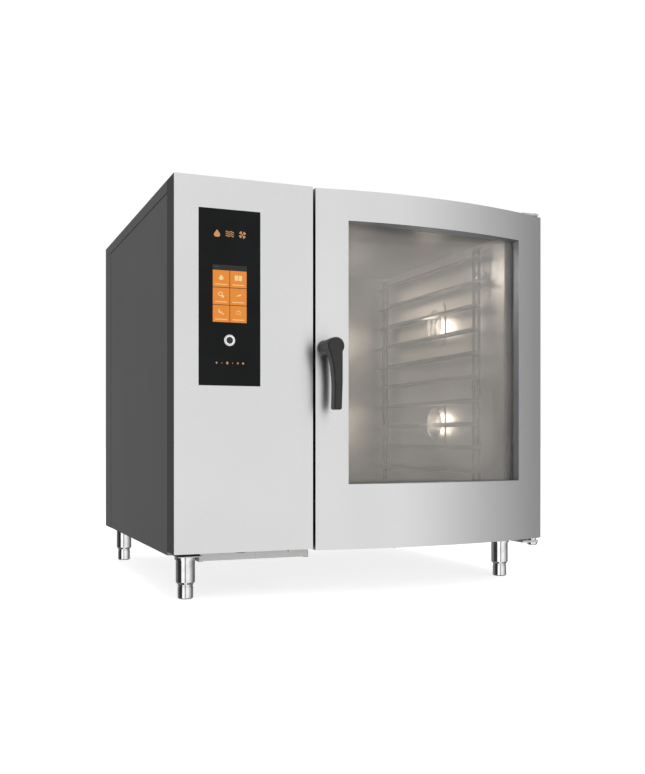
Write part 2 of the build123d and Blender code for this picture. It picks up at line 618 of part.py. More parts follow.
# fan wheel: back plate, front ring, hub and straight blades
WHEEL_BACK = FAN_ROOM_LEFT + 26.0
WHEEL_WIDTH = 72.0
BLADE_COUNT = 24
with BuildPart() as fan_wheel:
    with BuildSketch(Plane.YZ.offset(WHEEL_BACK)):
        with Locations((FAN_Y, FAN_Z)):
            Circle(FAN_RADIUS)
    extrude(amount=2.5)
    with BuildSketch(Plane.YZ.offset(WHEEL_BACK + WHEEL_WIDTH - 2.0)):
        with Locations((FAN_Y, FAN_Z)):
            Circle(FAN_RADIUS)
            Circle(FAN_RADIUS - 48.0, mode=Mode.SUBTRACT)
    extrude(amount=2.0)
    with BuildSketch(Plane.YZ.offset(WHEEL_BACK + 1.0)):
        with Locations((FAN_Y, FAN_Z)):
            with PolarLocations(FAN_RADIUS - 24.0, BLADE_COUNT):
                Rectangle(44.0, 2.5)
    extrude(amount=WHEEL_WIDTH - 2.0)
    with BuildSketch(Plane.YZ.offset(WHEEL_BACK - 8.0)):
        with Locations((FAN_Y, FAN_Z)):
            Circle(28.0)
    extrude(amount=40.0)
    with BuildSketch(Plane.YZ.offset(WHEEL_BACK - 20.0)):
        with Locations((FAN_Y, FAN_Z)):
            Circle(SHAFT_RADIUS)
    extrude(amount=100.0, mode=Mode.SUBTRACT)
fan_wheel.part.label = "fan_wheel"
export_step(fan_wheel.part, "parts/fan_wheel.step")

# motor shaft with the hexagonal nut that clamps the wheel
MOTOR_LEFT = -470.0
MOTOR_RIGHT = -345.0
with BuildPart() as motor_shaft:
    with BuildSketch(Plane.YZ.offset(MOTOR_LEFT - 8.0)):
        with Locations((FAN_Y, FAN_Z)):
            Circle(SHAFT_RADIUS)
    extrude(amount=WHEEL_BACK + 44.0 - MOTOR_LEFT + 8.0)
    with BuildSketch(Plane.YZ.offset(WHEEL_BACK + 32.0)):
        with Locations((FAN_Y, FAN_Z)):
            RegularPolygon(15.0, 6)
    extrude(amount=10.0)
motor_shaft.part.label = "motor_shaft"
export_step(motor_shaft.part, "parts/motor_shaft.step")

# fan motor: ribbed housing, end bells and terminal box, bored for the shaft
with BuildPart() as fan_motor:
    with BuildSketch(Plane.YZ.offset(MOTOR_LEFT)):
        with Locations((FAN_Y, FAN_Z)):
            Circle(72.0)
    extrude(amount=MOTOR_RIGHT - MOTOR_LEFT)
    with BuildSketch(Plane.YZ.offset(MOTOR_LEFT + 14.0)):
        with Locations((FAN_Y, FAN_Z)):
            with PolarLocations(76.0, 28):
                Rectangle(16.0, 3.0)
    extrude(amount=MOTOR_RIGHT - MOTOR_LEFT - 28.0)
    span(
        (MOTOR_LEFT + 35.0, FAN_Y - 32.0, FAN_Z + 66.0),
        (MOTOR_RIGHT - 35.0, FAN_Y + 32.0, FAN_Z + 112.0),
    )
    with BuildSketch(Plane.YZ.offset(MOTOR_LEFT - 1.0)):
        with Locations((FAN_Y, FAN_Z)):
            Circle(SHAFT_RADIUS + 0.06)
    extrude(amount=MOTOR_RIGHT - MOTOR_LEFT + 2.0, mode=Mode.SUBTRACT)
fan_motor.part.label = "fan_motor"
export_step(fan_motor.part, "parts/fan_motor.step")

# motor bracket: a plate on four spacers that stand on the liner
with BuildPart() as motor_bracket:
    with BuildSketch(Plane.YZ.offset(MOTOR_RIGHT)):
        with Locations((FAN_Y, FAN_Z)):
            RectangleRounded(236.0, 236.0, 18.0)
            Circle(24.0, mode=Mode.SUBTRACT)
    extrude(amount=4.0)
    with BuildSketch(Plane.YZ.offset(MOTOR_RIGHT + 4.0)):
        with Locations((FAN_Y, FAN_Z)):
            with GridLocations(200.0, 200.0, 2, 2):
                Circle(8.0)
    extrude(amount=FAN_ROOM_LEFT - LINER - MOTOR_RIGHT - 4.0)
motor_bracket.part.label = "motor_bracket"
export_step(motor_bracket.part, "parts/motor_bracket.step")

# heating elements: three round tubes about the wheel, each with two leads through the wall
with BuildPart() as heating_element:
    for ring_depth, ring_radius, lead_angle in ELEMENT_RINGS:
        ring_x = FAN_ROOM_LEFT + ring_depth
        with Locations(Location((ring_x, FAN_Y, FAN_Z), (0, 90, 0))):
            Torus(ring_radius, TUBE_RADIUS)
        with BuildSketch(Plane.YZ.offset(FAN_ROOM_LEFT - 14.0)):
            with Locations((FAN_Y, FAN_Z)):
                with PolarLocations(ring_radius, 2, start_angle=lead_angle, angular_range=8.0):
                    Circle(LEAD_RADIUS)
        extrude(amount=ring_depth + 14.0)
heating_element.part.label = "heating_element"
export_step(heating_element.part, "parts/heating_element.step")

# water pipe that sprays on the hub to make steam
with BuildPart() as water_injector:
    with BuildSketch(Plane.XY.offset(FAN_Z + 26.0)):
        with Locations((WATER_PIPE_X, FAN_Y)):
            Circle(WATER_PIPE_RADIUS)
    extrude(amount=CAVITY_CEILING + 34.0 - FAN_Z - 26.0)
    with BuildSketch(Plane.YZ.offset(WATER_PIPE_X - 20.0)):
        with Locations((FAN_Y, FAN_Z + 31.0)):
            Circle(WATER_PIPE_RADIUS)
    extrude(amount=20.0)
water_injector.part.label = "water_injector"
export_step(water_injector.part, "parts/water_injector.step")

# lamp housings: round pots welded to the outside of the right wall
with BuildPart() as lamp_housings:
    with BuildSketch(Plane.YZ.offset(LINER_RIGHT)):
        with Locations(*[(LAMP_Y, z) for z in LAMP_ZS]):
            RectangleRounded(134.0, 134.0, 16.0)
    extrude(amount=3.0)
    with BuildSketch(Plane.YZ.offset(LINER_RIGHT)):
        with Locations(*[(LAMP_Y, z) for z in LAMP_ZS]):
            Circle(LAMP_RADIUS + 3.0)
    extrude(amount=58.0)
    with BuildSketch(Plane.YZ.offset(LINER_RIGHT)):
        with Locations(*[(LAMP_Y, z) for z in LAMP_ZS]):
            Circle(LAMP_RADIUS)
    extrude(amount=55.0, mode=Mode.SUBTRACT)
lamp_housings.part.label = "lamp_housings"
export_step(lamp_housings.part, "parts/lamp_housings.step")

# lamp trims: square frames screwed to the inside of the wall, round opening
with BuildPart() as lamp_trims:
    with BuildSketch(Plane.YZ.offset(CAVITY_RIGHT - 3.0)):
        with Locations(*[(LAMP_Y, z) for z in LAMP_ZS]):
            RectangleRounded(142.0, 142.0, 22.0)
            Circle(LAMP_RADIUS - 4.0, mode=Mode.SUBTRACT)
            with GridLocations(112.0, 112.0, 2, 2):
                Circle(2.2, mode=Mode.SUBTRACT)
    extrude(amount=3.0)
lamp_trims.part.label = "lamp_trims"
export_step(lamp_trims.part, "parts/lamp_trims.step")

# lamp lenses: thick round glasses clamped behind the trims
with BuildPart() as lamp_lenses:
    with BuildSketch(Plane.YZ.offset(CAVITY_RIGHT)):
        with Locations(*[(LAMP_Y, z) for z in LAMP_ZS]):
            Circle(LAMP_RADIUS - 0.5)
    extrude(amount=8.0)
lamp_lenses.part.label = "lamp_lenses"
export_step(lamp_lenses.part, "parts/lamp_lenses.step")

# lamp bulbs: halogen capsules in ceramic sockets on the back of each pot
with BuildPart() as lamp_bulbs:
    with BuildSketch(Plane.YZ.offset(LINER_RIGHT + 35.0)):
        with Locations(*[(LAMP_Y, z) for z in LAMP_ZS]):
            Circle(14.0)
    extrude(amount=20.0)
    with BuildSketch(Plane.YZ.offset(LINER_RIGHT + 14.0)):
        with Locations(*[(LAMP_Y, z) for z in LAMP_ZS]):
            Circle(6.5)
    extrude(amount=21.0)
    fillet(lamp_bulbs.edges().group_by(Axis.X)[0], radius=5.0)
lamp_bulbs.part.label = "lamp_bulbs"
export_step(lamp_bulbs.part, "parts/lamp_bulbs.step")

# rack pins: studs on the right wall and on the baffle, on which the racks hang
PIN_REACH = 22.0
with BuildPart() as rack_pins:
    with BuildSketch(Plane.YZ.offset(CAVITY_RIGHT - PIN_REACH)):
        with Locations(*[(y, z) for y in RACK_POSTS_Y for z in RACK_PIN_ZS]):
            Circle(PIN_RADIUS)
    extrude(amount=PIN_REACH)
    with BuildSketch(Plane.YZ.offset(CAVITY_RIGHT - 6.0)):
        with Locations(*[(y, z) for y in RACK_POSTS_Y for z in RACK_PIN_ZS]):
            Circle(8.0)
    extrude(amount=6.0)
    mirror(about=Plane.YZ.offset(CAVITY_MIDDLE_X))
rack_pins.part.label = "rack_pins"
export_step(rack_pins.part, "parts/rack_pins.step")

# right rack: paired round posts front and back, hooked plates, and L-shaped tray rails
RAIL_FRONT = RACK_POSTS_Y[0] - 30.0
RAIL_BACK = RACK_POSTS_Y[1] + 30.0
RACK_LOW = LOWEST_RAIL - 38.0
RACK_HIGH = LOWEST_RAIL + (RAIL_COUNT - 1) * RAIL_PITCH + 34.0
ROD_GAP = 30.0
with BuildPart() as right_rack:
    with BuildSketch(Plane.XY.offset(RACK_LOW)):
        for post_y in RACK_POSTS_Y:
            with Locations((RACK_ROD_X, post_y)):
                with GridLocations(0, ROD_GAP, 1, 2):
                    Circle(ROD_RADIUS)
    extrude(amount=RACK_HIGH - RACK_LOW)
    # short bars that close each pair of posts at both ends
    for bar_z in (RACK_LOW + ROD_RADIUS, RACK_HIGH - ROD_RADIUS):
        for post_y in RACK_POSTS_Y:
            span(
                (RACK_ROD_X - 4.0, post_y - ROD_GAP / 2, bar_z - 4.0),
                (RACK_ROD_X + 4.0, post_y + ROD_GAP / 2, bar_z + 4.0),
            )
    # hook plates: the slot is open below, so the rack lifts off its pins
    for post_y in RACK_POSTS_Y:
        for pin_z in RACK_PIN_ZS:
            span(
                (RACK_ROD_X + 1.0, post_y - ROD_GAP / 2, pin_z - 15.0),
                (RACK_ROD_X + 5.0, post_y + ROD_GAP / 2, pin_z + 18.0),
            )
            span(
                (RACK_ROD_X - 6.0, post_y - PIN_RADIUS - 0.5, pin_z - 16.0),
                (RACK_ROD_X + 6.0, post_y + PIN_RADIUS + 0.5, pin_z),
                Mode.SUBTRACT,
            )
    with BuildSketch(Plane.YZ.offset(RACK_ROD_X - 6.0)):
        with Locations(*[(y, z) for y in RACK_POSTS_Y for z in RACK_PIN_ZS]):
            Circle(PIN_RADIUS + 0.5)
    extrude(amount=12.0, mode=Mode.SUBTRACT)
    # rails, folded from strip: a shelf and a back
    with BuildSketch(Plane.XZ.offset(-RAIL_FRONT)):
        with Locations(*[(RACK_ROD_X - 4.0, LOWEST_RAIL + RAIL_PITCH * i) for i in range(RAIL_COUNT)]):
            Rectangle(29.0, 2.0, align=(Align.MAX, Align.MIN))
            Rectangle(2.0, 15.0, align=(Align.MAX, Align.MIN))
    extrude(amount=-(RAIL_BACK - RAIL_FRONT))
right_rack.part.label = "right_rack"
export_step(right_rack.part, "parts/right_rack.step")

# left rack: the same rack, turned to face the right one
with BuildPart() as left_rack:
    add(mirror(right_rack.part, about=Plane.YZ.offset(CAVITY_MIDDLE_X)))
left_rack.part.label = "left_rack"
export_step(left_rack.part, "parts/left_rack.step")

# drain grate and drain pipe
with BuildPart() as drain_grate:
    with BuildSketch(Plane.XY.offset(CAVITY_FLOOR)):
        with Locations((CAVITY_MIDDLE_X, FAN_Y)):
            Circle(48.0)
            with GridLocations(0, 11.0, 1, 5):
                SlotOverall(52.0, 5.0, mode=Mode.SUBTRACT)
    extrude(amount=3.0)
drain_grate.part.label = "drain_grate"
export_step(drain_grate.part, "parts/drain_grate.step")

# drain pipe: a drop, an elbow and a run to the back, swaged at its end for the waste socket
ELBOW = 40.0                          # radius of the elbow's centre line
DRAIN_END = BACK_Y + 18.0
SWAGE = 17.0


def drain_tube(place, length, radius):
    from_end = (Align.CENTER, Align.CENTER, Align.MIN)
    with Locations(place):
        Cylinder(radius, length, align=from_end)
        Cylinder(DRAIN_BORE, length, align=from_end, mode=Mode.SUBTRACT)


with BuildPart() as drain_pipe:
    drop = Plane(origin=(CAVITY_MIDDLE_X, FAN_Y, LINER_BOTTOM), z_dir=(0, 0, -1))
    drain_tube(drop, LINER_BOTTOM - DRAIN_Z - ELBOW - SEAM, DRAIN_TUBE)
    run = Plane(origin=(CAVITY_MIDDLE_X, FAN_Y + ELBOW + SEAM, DRAIN_Z), z_dir=(0, 1, 0))
    drain_tube(run, DRAIN_END - FAN_Y - ELBOW - SEAM, DRAIN_TUBE)
    collar = Plane(origin=(CAVITY_MIDDLE_X, DRAIN_END - SWAGE, DRAIN_Z), z_dir=(0, 1, 0))
    drain_tube(collar, SWAGE, DRAIN_RADIUS)
    with BuildSketch(Plane.XY.offset(DRAIN_Z + ELBOW)):
        with Locations((CAVITY_MIDDLE_X, FAN_Y)):
            Circle(DRAIN_TUBE)
            Circle(DRAIN_BORE, mode=Mode.SUBTRACT)
    elbow_axis = Axis((CAVITY_MIDDLE_X, FAN_Y + ELBOW, DRAIN_Z + ELBOW), (1, 0, 0))
    revolve(axis=elbow_axis, revolution_arc=90.0)
drain_pipe.part.label = "drain_pipe"
export_step(drain_pipe.part, "parts/drain_pipe.step")

# vent pipe from the cavity's ceiling through the top cover, cross-drilled for the flap's axle
# and swaged at its outlet for a duct
OUTLET_RADIUS = VENT_RADIUS + 1.5
OUTLET_LENGTH = 34.0
VENT_BORE = VENT_RADIUS - 2.0
with BuildPart() as vent_pipe:
    with BuildSketch(Plane.XY.offset(CAVITY_CEILING)):
        with Locations((VENT_X, VENT_Y)):
            Circle(VENT_RADIUS)
            Circle(VENT_BORE, mode=Mode.SUBTRACT)
    extrude(amount=VENT_TOP - CAVITY_CEILING)
    with BuildSketch(Plane.XY.offset(VENT_TOP - OUTLET_LENGTH)):
        with Locations((VENT_X, VENT_Y)):
            Circle(OUTLET_RADIUS)
            Circle(VENT_BORE, mode=Mode.SUBTRACT)
    extrude(amount=OUTLET_LENGTH)
    with BuildSketch(Plane.XY.offset(BODY_TOP)):
        with Locations((VENT_X, VENT_Y)):
            Circle(VENT_RADIUS + 12.0)
            Circle(VENT_RADIUS - 1.0, mode=Mode.SUBTRACT)
    extrude(amount=3.0)
    with BuildSketch(Plane.YZ.offset(VENT_X - 60.0)):
        with Locations((VENT_Y, FLAP_Z)):
            Circle(AXLE_RADIUS + 0.06)
    extrude(amount=120.0, mode=Mode.SUBTRACT)
vent_pipe.part.label = "vent_pipe"
export_step(vent_pipe.part, "parts/vent_pipe.step")

# vent flap: a round plate on its axle
with BuildPart() as vent_flap:
    with BuildSketch(Plane.XY.offset(FLAP_Z - 1.0)):
        with Locations((VENT_X, VENT_Y)):
            Circle(VENT_RADIUS - 3.0)
    extrude(amount=2.0)
    with BuildSketch(Plane.YZ.offset(VENT_X - VENT_RADIUS - 5.0)):
        with Locations((VENT_Y, FLAP_Z)):
            Circle(AXLE_RADIUS)
    extrude(amount=2 * VENT_RADIUS + 30.0)
vent_flap.part.label = "vent_flap"
export_step(vent_flap.part, "parts/vent_flap.step")

# flap actuator: the geared motor that turns the axle, on the pipe's right side
with BuildPart() as flap_actuator:
    span(
        (VENT_X + VENT_RADIUS + 2.0, VENT_Y - 26.0, BODY_TOP + 3.5),
        (VENT_X + VENT_RADIUS + 52.0, VENT_Y + 26.0, BODY_TOP + 52.0),
    )
    span(
        (VENT_X + VENT_RADIUS - 1.0, VENT_Y - 60.0, BODY_TOP),
        (VENT_X + VENT_RADIUS + 60.0, VENT_Y + 60.0, BODY_TOP + 3.5),
    )
    with BuildSketch(Plane.XY.offset(BODY_TOP - 1.0)):
        with Locations((VENT_X, VENT_Y)):
            Circle(VENT_RADIUS + 12.5)
    extrude(amount=4.6, mode=Mode.SUBTRACT)
    with BuildSketch(Plane.YZ.offset(VENT_X + VENT_RADIUS)):
        with Locations((VENT_Y, FLAP_Z)):
            Circle(AXLE_RADIUS + 0.06)
    extrude(amount=30.0, mode=Mode.SUBTRACT)
    fillet(flap_actuator.edges().group_by(Axis.Z)[-1], radius=2.5)
flap_actuator.part.label = "flap_actuator"
export_step(flap_actuator.part, "parts/flap_actuator.step")

# keeper plate: the latch bar passes its level slot only when the handle is turned
KEEPER = 4.0
with BuildPart() as keeper_plate:
    with BuildSketch(Plane.XZ.offset(-FRAME_Y)):
        with Locations((SPINDLE_X - 5.5, SPINDLE_Z)):
            RectangleRounded(37.0, 84.0, 3.0)
        with Locations((SPINDLE_X, SPINDLE_Z)):
            Rectangle(2 * LATCH_HALF + 2.0, 2 * SPINDLE_RADIUS + 2.0, mode=Mode.SUBTRACT)
    extrude(amount=KEEPER)
keeper_plate.part.label = "keeper_plate"
export_step(keeper_plate.part, "parts/keeper_plate.step")

# hinge brackets: a plate on the roof and one under the floor, each reaching over the door's end
BRACKET = 6.0
with BuildPart() as hinge_brackets:
    for bracket_z in (FLOOR_PAN_Z - BRACKET, BODY_TOP):
        with BuildSketch(Plane.XY.offset(bracket_z)):
            with BuildLine():
                Polyline(
                    (HINGE_X - 46.0, FRAME_Y + 12.0),
                    (HINGE_X - 46.0, FRAME_Y),
                    (HINGE_X - 44.0, HINGE_Y - 18.0),
                    (HINGE_X + 9.0, HINGE_Y - 18.0),
                    (HINGE_X + 12.0, HINGE_Y),
                    (HINGE_X + 12.0, FRAME_Y + 12.0),
                    close=True,
                )
            make_face()
            with Locations((HINGE_X, HINGE_Y)):
                Circle(HINGE_PIN_RADIUS, mode=Mode.SUBTRACT)
        extrude(amount=BRACKET)
hinge_brackets.part.label = "hinge_brackets"
export_step(hinge_brackets.part, "parts/hinge_brackets.step")

# hinge pins: each has a round head outside its bracket; the lower one carries the door
PIN_DEPTH = 24.0
PIN_HEAD_RADIUS = 15.0
with BuildPart() as hinge_pins:
    with BuildSketch(Plane.XY.offset(FLOOR_PAN_Z - BRACKET)):
        with Locations((HINGE_X, HINGE_Y)):
            Circle(HINGE_PIN_RADIUS)
    extrude(amount=DOOR_BOTTOM + PIN_DEPTH - FLOOR_PAN_Z + BRACKET)
    with BuildSketch(Plane.XY.offset(FLOOR_PAN_Z)):
        with Locations((HINGE_X, HINGE_Y)):
            Circle(HINGE_PIN_RADIUS + 4.5)
    extrude(amount=DOOR_BOTTOM - 0.3 - FLOOR_PAN_Z)
    with BuildSketch(Plane.XY.offset(FLOOR_PAN_Z - BRACKET - 9.0)):
        with Locations((HINGE_X, HINGE_Y)):
            Circle(PIN_HEAD_RADIUS)
    extrude(amount=9.0)
    fillet(hinge_pins.edges().group_by(Axis.Z)[0], radius=5.0)
    with BuildSketch(Plane.XY.offset(DOOR_TOP - PIN_DEPTH)):
        with Locations((HINGE_X, HINGE_Y)):
            Circle(HINGE_PIN_RADIUS)
    extrude(amount=BODY_TOP + BRACKET - DOOR_TOP + PIN_DEPTH)
    with BuildSketch(Plane.XY.offset(BODY_TOP + BRACKET)):
        with Locations((HINGE_X, HINGE_Y)):
            Circle(11.0)
    extrude(amount=4.0)
    fillet(hinge_pins.edges().group_by(Axis.Z)[-1], radius=2.0)
hinge_pins.part.label = "hinge_pins"
export_step(hinge_pins.part, "parts/hinge_pins.step")

# water inlets: two threaded nipples with a hexagon behind the thread
with BuildPart() as water_inlets:
    with BuildSketch(Plane.XZ.offset(-(BACK_Y - 14.0))):
        with Locations(*[(x, INLET_Z) for x in INLET_XS]):
            Circle(INLET_RADIUS)
    extrude(amount=-(FITTING_REACH + 14.0))
    with BuildSketch(Plane.XZ.offset(-BACK_Y)):
        with Locations(*[(x, INLET_Z) for x in INLET_XS]):
            RegularPolygon(19.0, 6)
    extrude(amount=-6.0)
    with BuildSketch(Plane.XZ.offset(-(BACK_Y - 16.0))):
        with Locations(*[(x, INLET_Z) for x in INLET_XS]):
            Circle(9.0)
    extrude(amount=-(FITTING_REACH + 20.0), mode=Mode.SUBTRACT)
water_inlets.part.label = "water_inlets"
export_step(water_inlets.part, "parts/water_inlets.step")

# cable gland: an empty screwed gland for the mains lead
with BuildPart() as cable_gland:
    with BuildSketch(Plane.XZ.offset(-(BACK_Y - 10.0))):
        with Locations((GLAND_X, GLAND_Z)):
            Circle(12.0)
    extrude(amount=-10.0)
    with BuildSketch(Plane.XZ.offset(-BACK_Y)):
        with Locations((GLAND_X, GLAND_Z)):
            RegularPolygon(17.0, 6)
    extrude(amount=-7.0)
    with BuildSketch(Plane.XZ.offset(-(BACK_Y + 7.0))):
        with Locations((GLAND_X, GLAND_Z)):
            Circle(14.5)
    extrude(amount=-11.0, taper=6.0)
    with BuildSketch(Plane.XZ.offset(-(BACK_Y - 12.0))):
        with Locations((GLAND_X, GLAND_Z)):
            Circle(7.5)
    extrude(amount=-40.0, mode=Mode.SUBTRACT)
cable_gland.part.label = "cable_gland"
export_step(cable_gland.part, "parts/cable_gland.step")

# filter rails: two L-shaped rails under the bottom plate and a light strip across the back
RAIL_SHEET = 1.5
with BuildPart() as filter_rails:
    for wall_x, lip_low, lip_high in (
        (FILTER_LEFT - RAIL_SHEET, FILTER_LEFT - RAIL_SHEET, FILTER_LEFT + 10.0),
        (FILTER_RIGHT, FILTER_RIGHT - 10.0, FILTER_RIGHT + RAIL_SHEET),
    ):
        span(
            (wall_x, FILTER_FRONT, FILTER_BOTTOM - RAIL_SHEET - 0.4),
            (wall_x + RAIL_SHEET, FILTER_FRONT + FILTER_DEPTH + 8.0, FLOOR_PAN_Z),
        )
        span(
            (lip_low, FILTER_FRONT, FILTER_BOTTOM - RAIL_SHEET - 0.4),
            (lip_high, FILTER_FRONT + FILTER_DEPTH + 8.0, FILTER_BOTTOM - 0.4),
        )
    span(
        (FILTER_LEFT, FILTER_FRONT + FILTER_DEPTH + 6.5, FILTER_BOTTOM - RAIL_SHEET - 0.4),
        (FILTER_RIGHT, FILTER_FRONT + FILTER_DEPTH + 8.0, FLOOR_PAN_Z),
    )
filter_rails.part.label = "filter_rails"
export_step(filter_rails.part, "parts/filter_rails.step")

# air filter: a flat cassette with a grip strip in front and a slotted screen
with BuildPart() as air_filter:
    span(
        (FILTER_LEFT + 0.6, FILTER_FRONT, FILTER_BOTTOM),
        (FILTER_RIGHT - 0.6, FILTER_FRONT + FILTER_DEPTH, FILTER_BOTTOM + FILTER_HEIGHT),
    )
    span(
        (FILTER_LEFT + 14.0, FILTER_FRONT + 14.0, FILTER_BOTTOM + 2.0),
        (FILTER_RIGHT - 14.0, FILTER_FRONT + FILTER_DEPTH - 14.0, FILTER_BOTTOM + FILTER_HEIGHT + 1.0),
        Mode.SUBTRACT,
    )
    with BuildSketch(Plane.XY.offset(FILTER_BOTTOM - 1.0)):
        with Locations((FILTER_X, FILTER_FRONT + FILTER_DEPTH / 2)):
            with GridLocations(66.0, 14.0, 4, 13):
                SlotOverall(56.0, 7.0)
    extrude(amount=5.0, mode=Mode.SUBTRACT)
    # front strip, raised in front of the bottom plate, with two finger notches and a joint line
    span(
        (FILTER_LEFT + 0.6, FILTER_FRONT, FILTER_BOTTOM),
        (FILTER_RIGHT - 0.6, FILTER_FRONT + 4.0, STRIP_TOP),
    )
    for notch_x, notch_width in ((FILTER_X - 38.0, 26.0), (FILTER_X + 92.0, 7.0)):
        with BuildSketch(Plane.XZ.offset(-FILTER_FRONT)):
            with Locations((notch_x, STRIP_TOP)):
                SlotOverall(notch_width, 6.0)
        extrude(amount=-4.0, mode=Mode.SUBTRACT)
    span(
        (FILTER_X, FILTER_FRONT - 1.0, FILTER_BOTTOM - 1.0),
        (FILTER_X + 1.2, FILTER_FRONT + 1.0, STRIP_TOP + 1.0),
        Mode.SUBTRACT,
    )
air_filter.part.label = "air_filter"
export_step(air_filter.part, "parts/air_filter.step")

# case screws: pan heads that hold the rear panel
with BuildPart() as case_screws:
    with BuildSketch(Plane.XZ.offset(-BACK_Y)):
        with Locations((0.0, (FLOOR_PAN_Z + PANEL_TOP) / 2)):
            with GridLocations(WIDTH - 60.0, 280.0, 2, 4):
                Circle(5.0)
    extrude(amount=-2.6)
    fillet(case_screws.edges().group_by(Axis.Y)[-1], radius=1.6)
    with BuildSketch(Plane.XZ.offset(-(BACK_Y + 2.6))):
        with Locations((0.0, (FLOOR_PAN_Z + PANEL_TOP) / 2)):
            with GridLocations(WIDTH - 60.0, 280.0, 2, 4):
                Rectangle(5.0, 1.2)
                Rectangle(1.2, 5.0)
    extrude(amount=1.4, mode=Mode.SUBTRACT)
case_screws.part.label = "case_screws"
export_step(case_screws.part, "parts/case_screws.step")

# ================================================================ DOOR
# outer glass: flat, parallel to the chord of the curved window
CHORD_RISE = skin_y(WINDOW_RIGHT) - skin_y(WINDOW_LEFT)
CHORD_ANGLE = atan2(CHORD_RISE, WINDOW_RIGHT - WINDOW_LEFT)
CHORD = (WINDOW_RIGHT - WINDOW_LEFT) / cos(CHORD_ANGLE)
OUTER_GLASS_PLANE = Plane(
    origin=(
        (WINDOW_LEFT + WINDOW_RIGHT) / 2,
        (skin_y(WINDOW_LEFT) + skin_y(WINDOW_RIGHT)) / 2 + REVEAL,
        WINDOW_Z,
    ),
    x_dir=(cos(CHORD_ANGLE), sin(CHORD_ANGLE), 0),
    z_dir=(sin(CHORD_ANGLE), -cos(CHORD_ANGLE), 0),
)
PANE = 6.0
PANE_OVERLAP = 24.0
GLAZING_SEAL = 3.0
WINDOW_HEIGHT = WINDOW_TOP - WINDOW_BOTTOM
with BuildPart() as outer_glass:
    with BuildSketch(OUTER_GLASS_PLANE):
        Rectangle(CHORD + 2 * PANE_OVERLAP, WINDOW_HEIGHT + 2 * PANE_OVERLAP)
    extrude(amount=-PANE)
outer_glass.part.label = "outer_glass"
export_step(outer_glass.part, "parts/outer_glass.step")

# window reveal: the folded flange between the skin and the outer glass, joined to the skin below
with BuildPart() as window_reveal:
    with BuildSketch(Plane.XZ.offset(-(FRONT_Y - 60.0))):
        with Locations(((WINDOW_LEFT + WINDOW_RIGHT) / 2, WINDOW_Z)):
            Rectangle(WINDOW_RIGHT - WINDOW_LEFT + 2 * SHEET, WINDOW_HEIGHT + 2 * SHEET)
            Rectangle(WINDOW_RIGHT - WINDOW_LEFT, WINDOW_HEIGHT, mode=Mode.SUBTRACT)
    extrude(amount=-200.0)
    split(bisect_by=OUTER_GLASS_PLANE.offset(GLAZING_SEAL), keep=Keep.TOP)
    with BuildSketch(Plane.XY.offset(DOOR_BOTTOM)):
        with BuildLine():
            door_outline(SHEET / 2, DOOR_LEFT, DOOR_RIGHT, FRAME_Y)
        make_face()
    extrude(amount=DOOR_TOP - DOOR_BOTTOM, mode=Mode.INTERSECT)

# door skin: the curved front with folded edges, open at the back, and the window's reveal
with BuildPart() as door_skin:
    with BuildSketch(Plane.XY.offset(DOOR_BOTTOM)):
        with BuildLine():
            door_outline(0.0, DOOR_LEFT, DOOR_RIGHT, DOOR_PAN_Y)
        make_face()
    extrude(amount=DOOR_TOP - DOOR_BOTTOM)
    with BuildSketch(Plane.XY.offset(DOOR_BOTTOM + SHEET)):
        with BuildLine():
            door_outline(SHEET, DOOR_LEFT + SHEET, DOOR_RIGHT - SHEET, FRAME_Y)
        make_face()
    extrude(amount=DOOR_TOP - DOOR_BOTTOM - 2 * SHEET, mode=Mode.SUBTRACT)
    # window cut-out
    span(
        (WINDOW_LEFT, FRONT_Y - 60.0, WINDOW_BOTTOM),
        (WINDOW_RIGHT, HINGE_Y, WINDOW_TOP),
        Mode.SUBTRACT,
    )
    add(window_reveal.part)
    # relief of the rear right edge, which swings towards the oven frame
    span(
        (DOOR_RIGHT - SHEET - 0.1, DOOR_PAN_Y - 6.0, DOOR_BOTTOM - 1.0),
        (DOOR_RIGHT + 1.0, FRAME_Y, DOOR_TOP + 1.0),
        Mode.SUBTRACT,
    )
    # holes for the spindle and for both hinge pins
    with BuildSketch(Plane.XZ.offset(-(FRONT_Y - 40.0))):
        with Locations((SPINDLE_X, SPINDLE_Z)):
            Circle(SPINDLE_RADIUS + 1.5)
    extrude(amount=-80.0, mode=Mode.SUBTRACT)
    with BuildSketch(Plane.XY.offset(DOOR_BOTTOM - 5.0)):
        with Locations((HINGE_X, HINGE_Y)):
            Circle(HINGE_PIN_RADIUS + 0.6)
    extrude(amount=DOOR_TOP - DOOR_BOTTOM + 10.0, mode=Mode.SUBTRACT)
door_skin.part.label = "door_skin"
export_step(door_skin.part, "parts/door_skin.step")

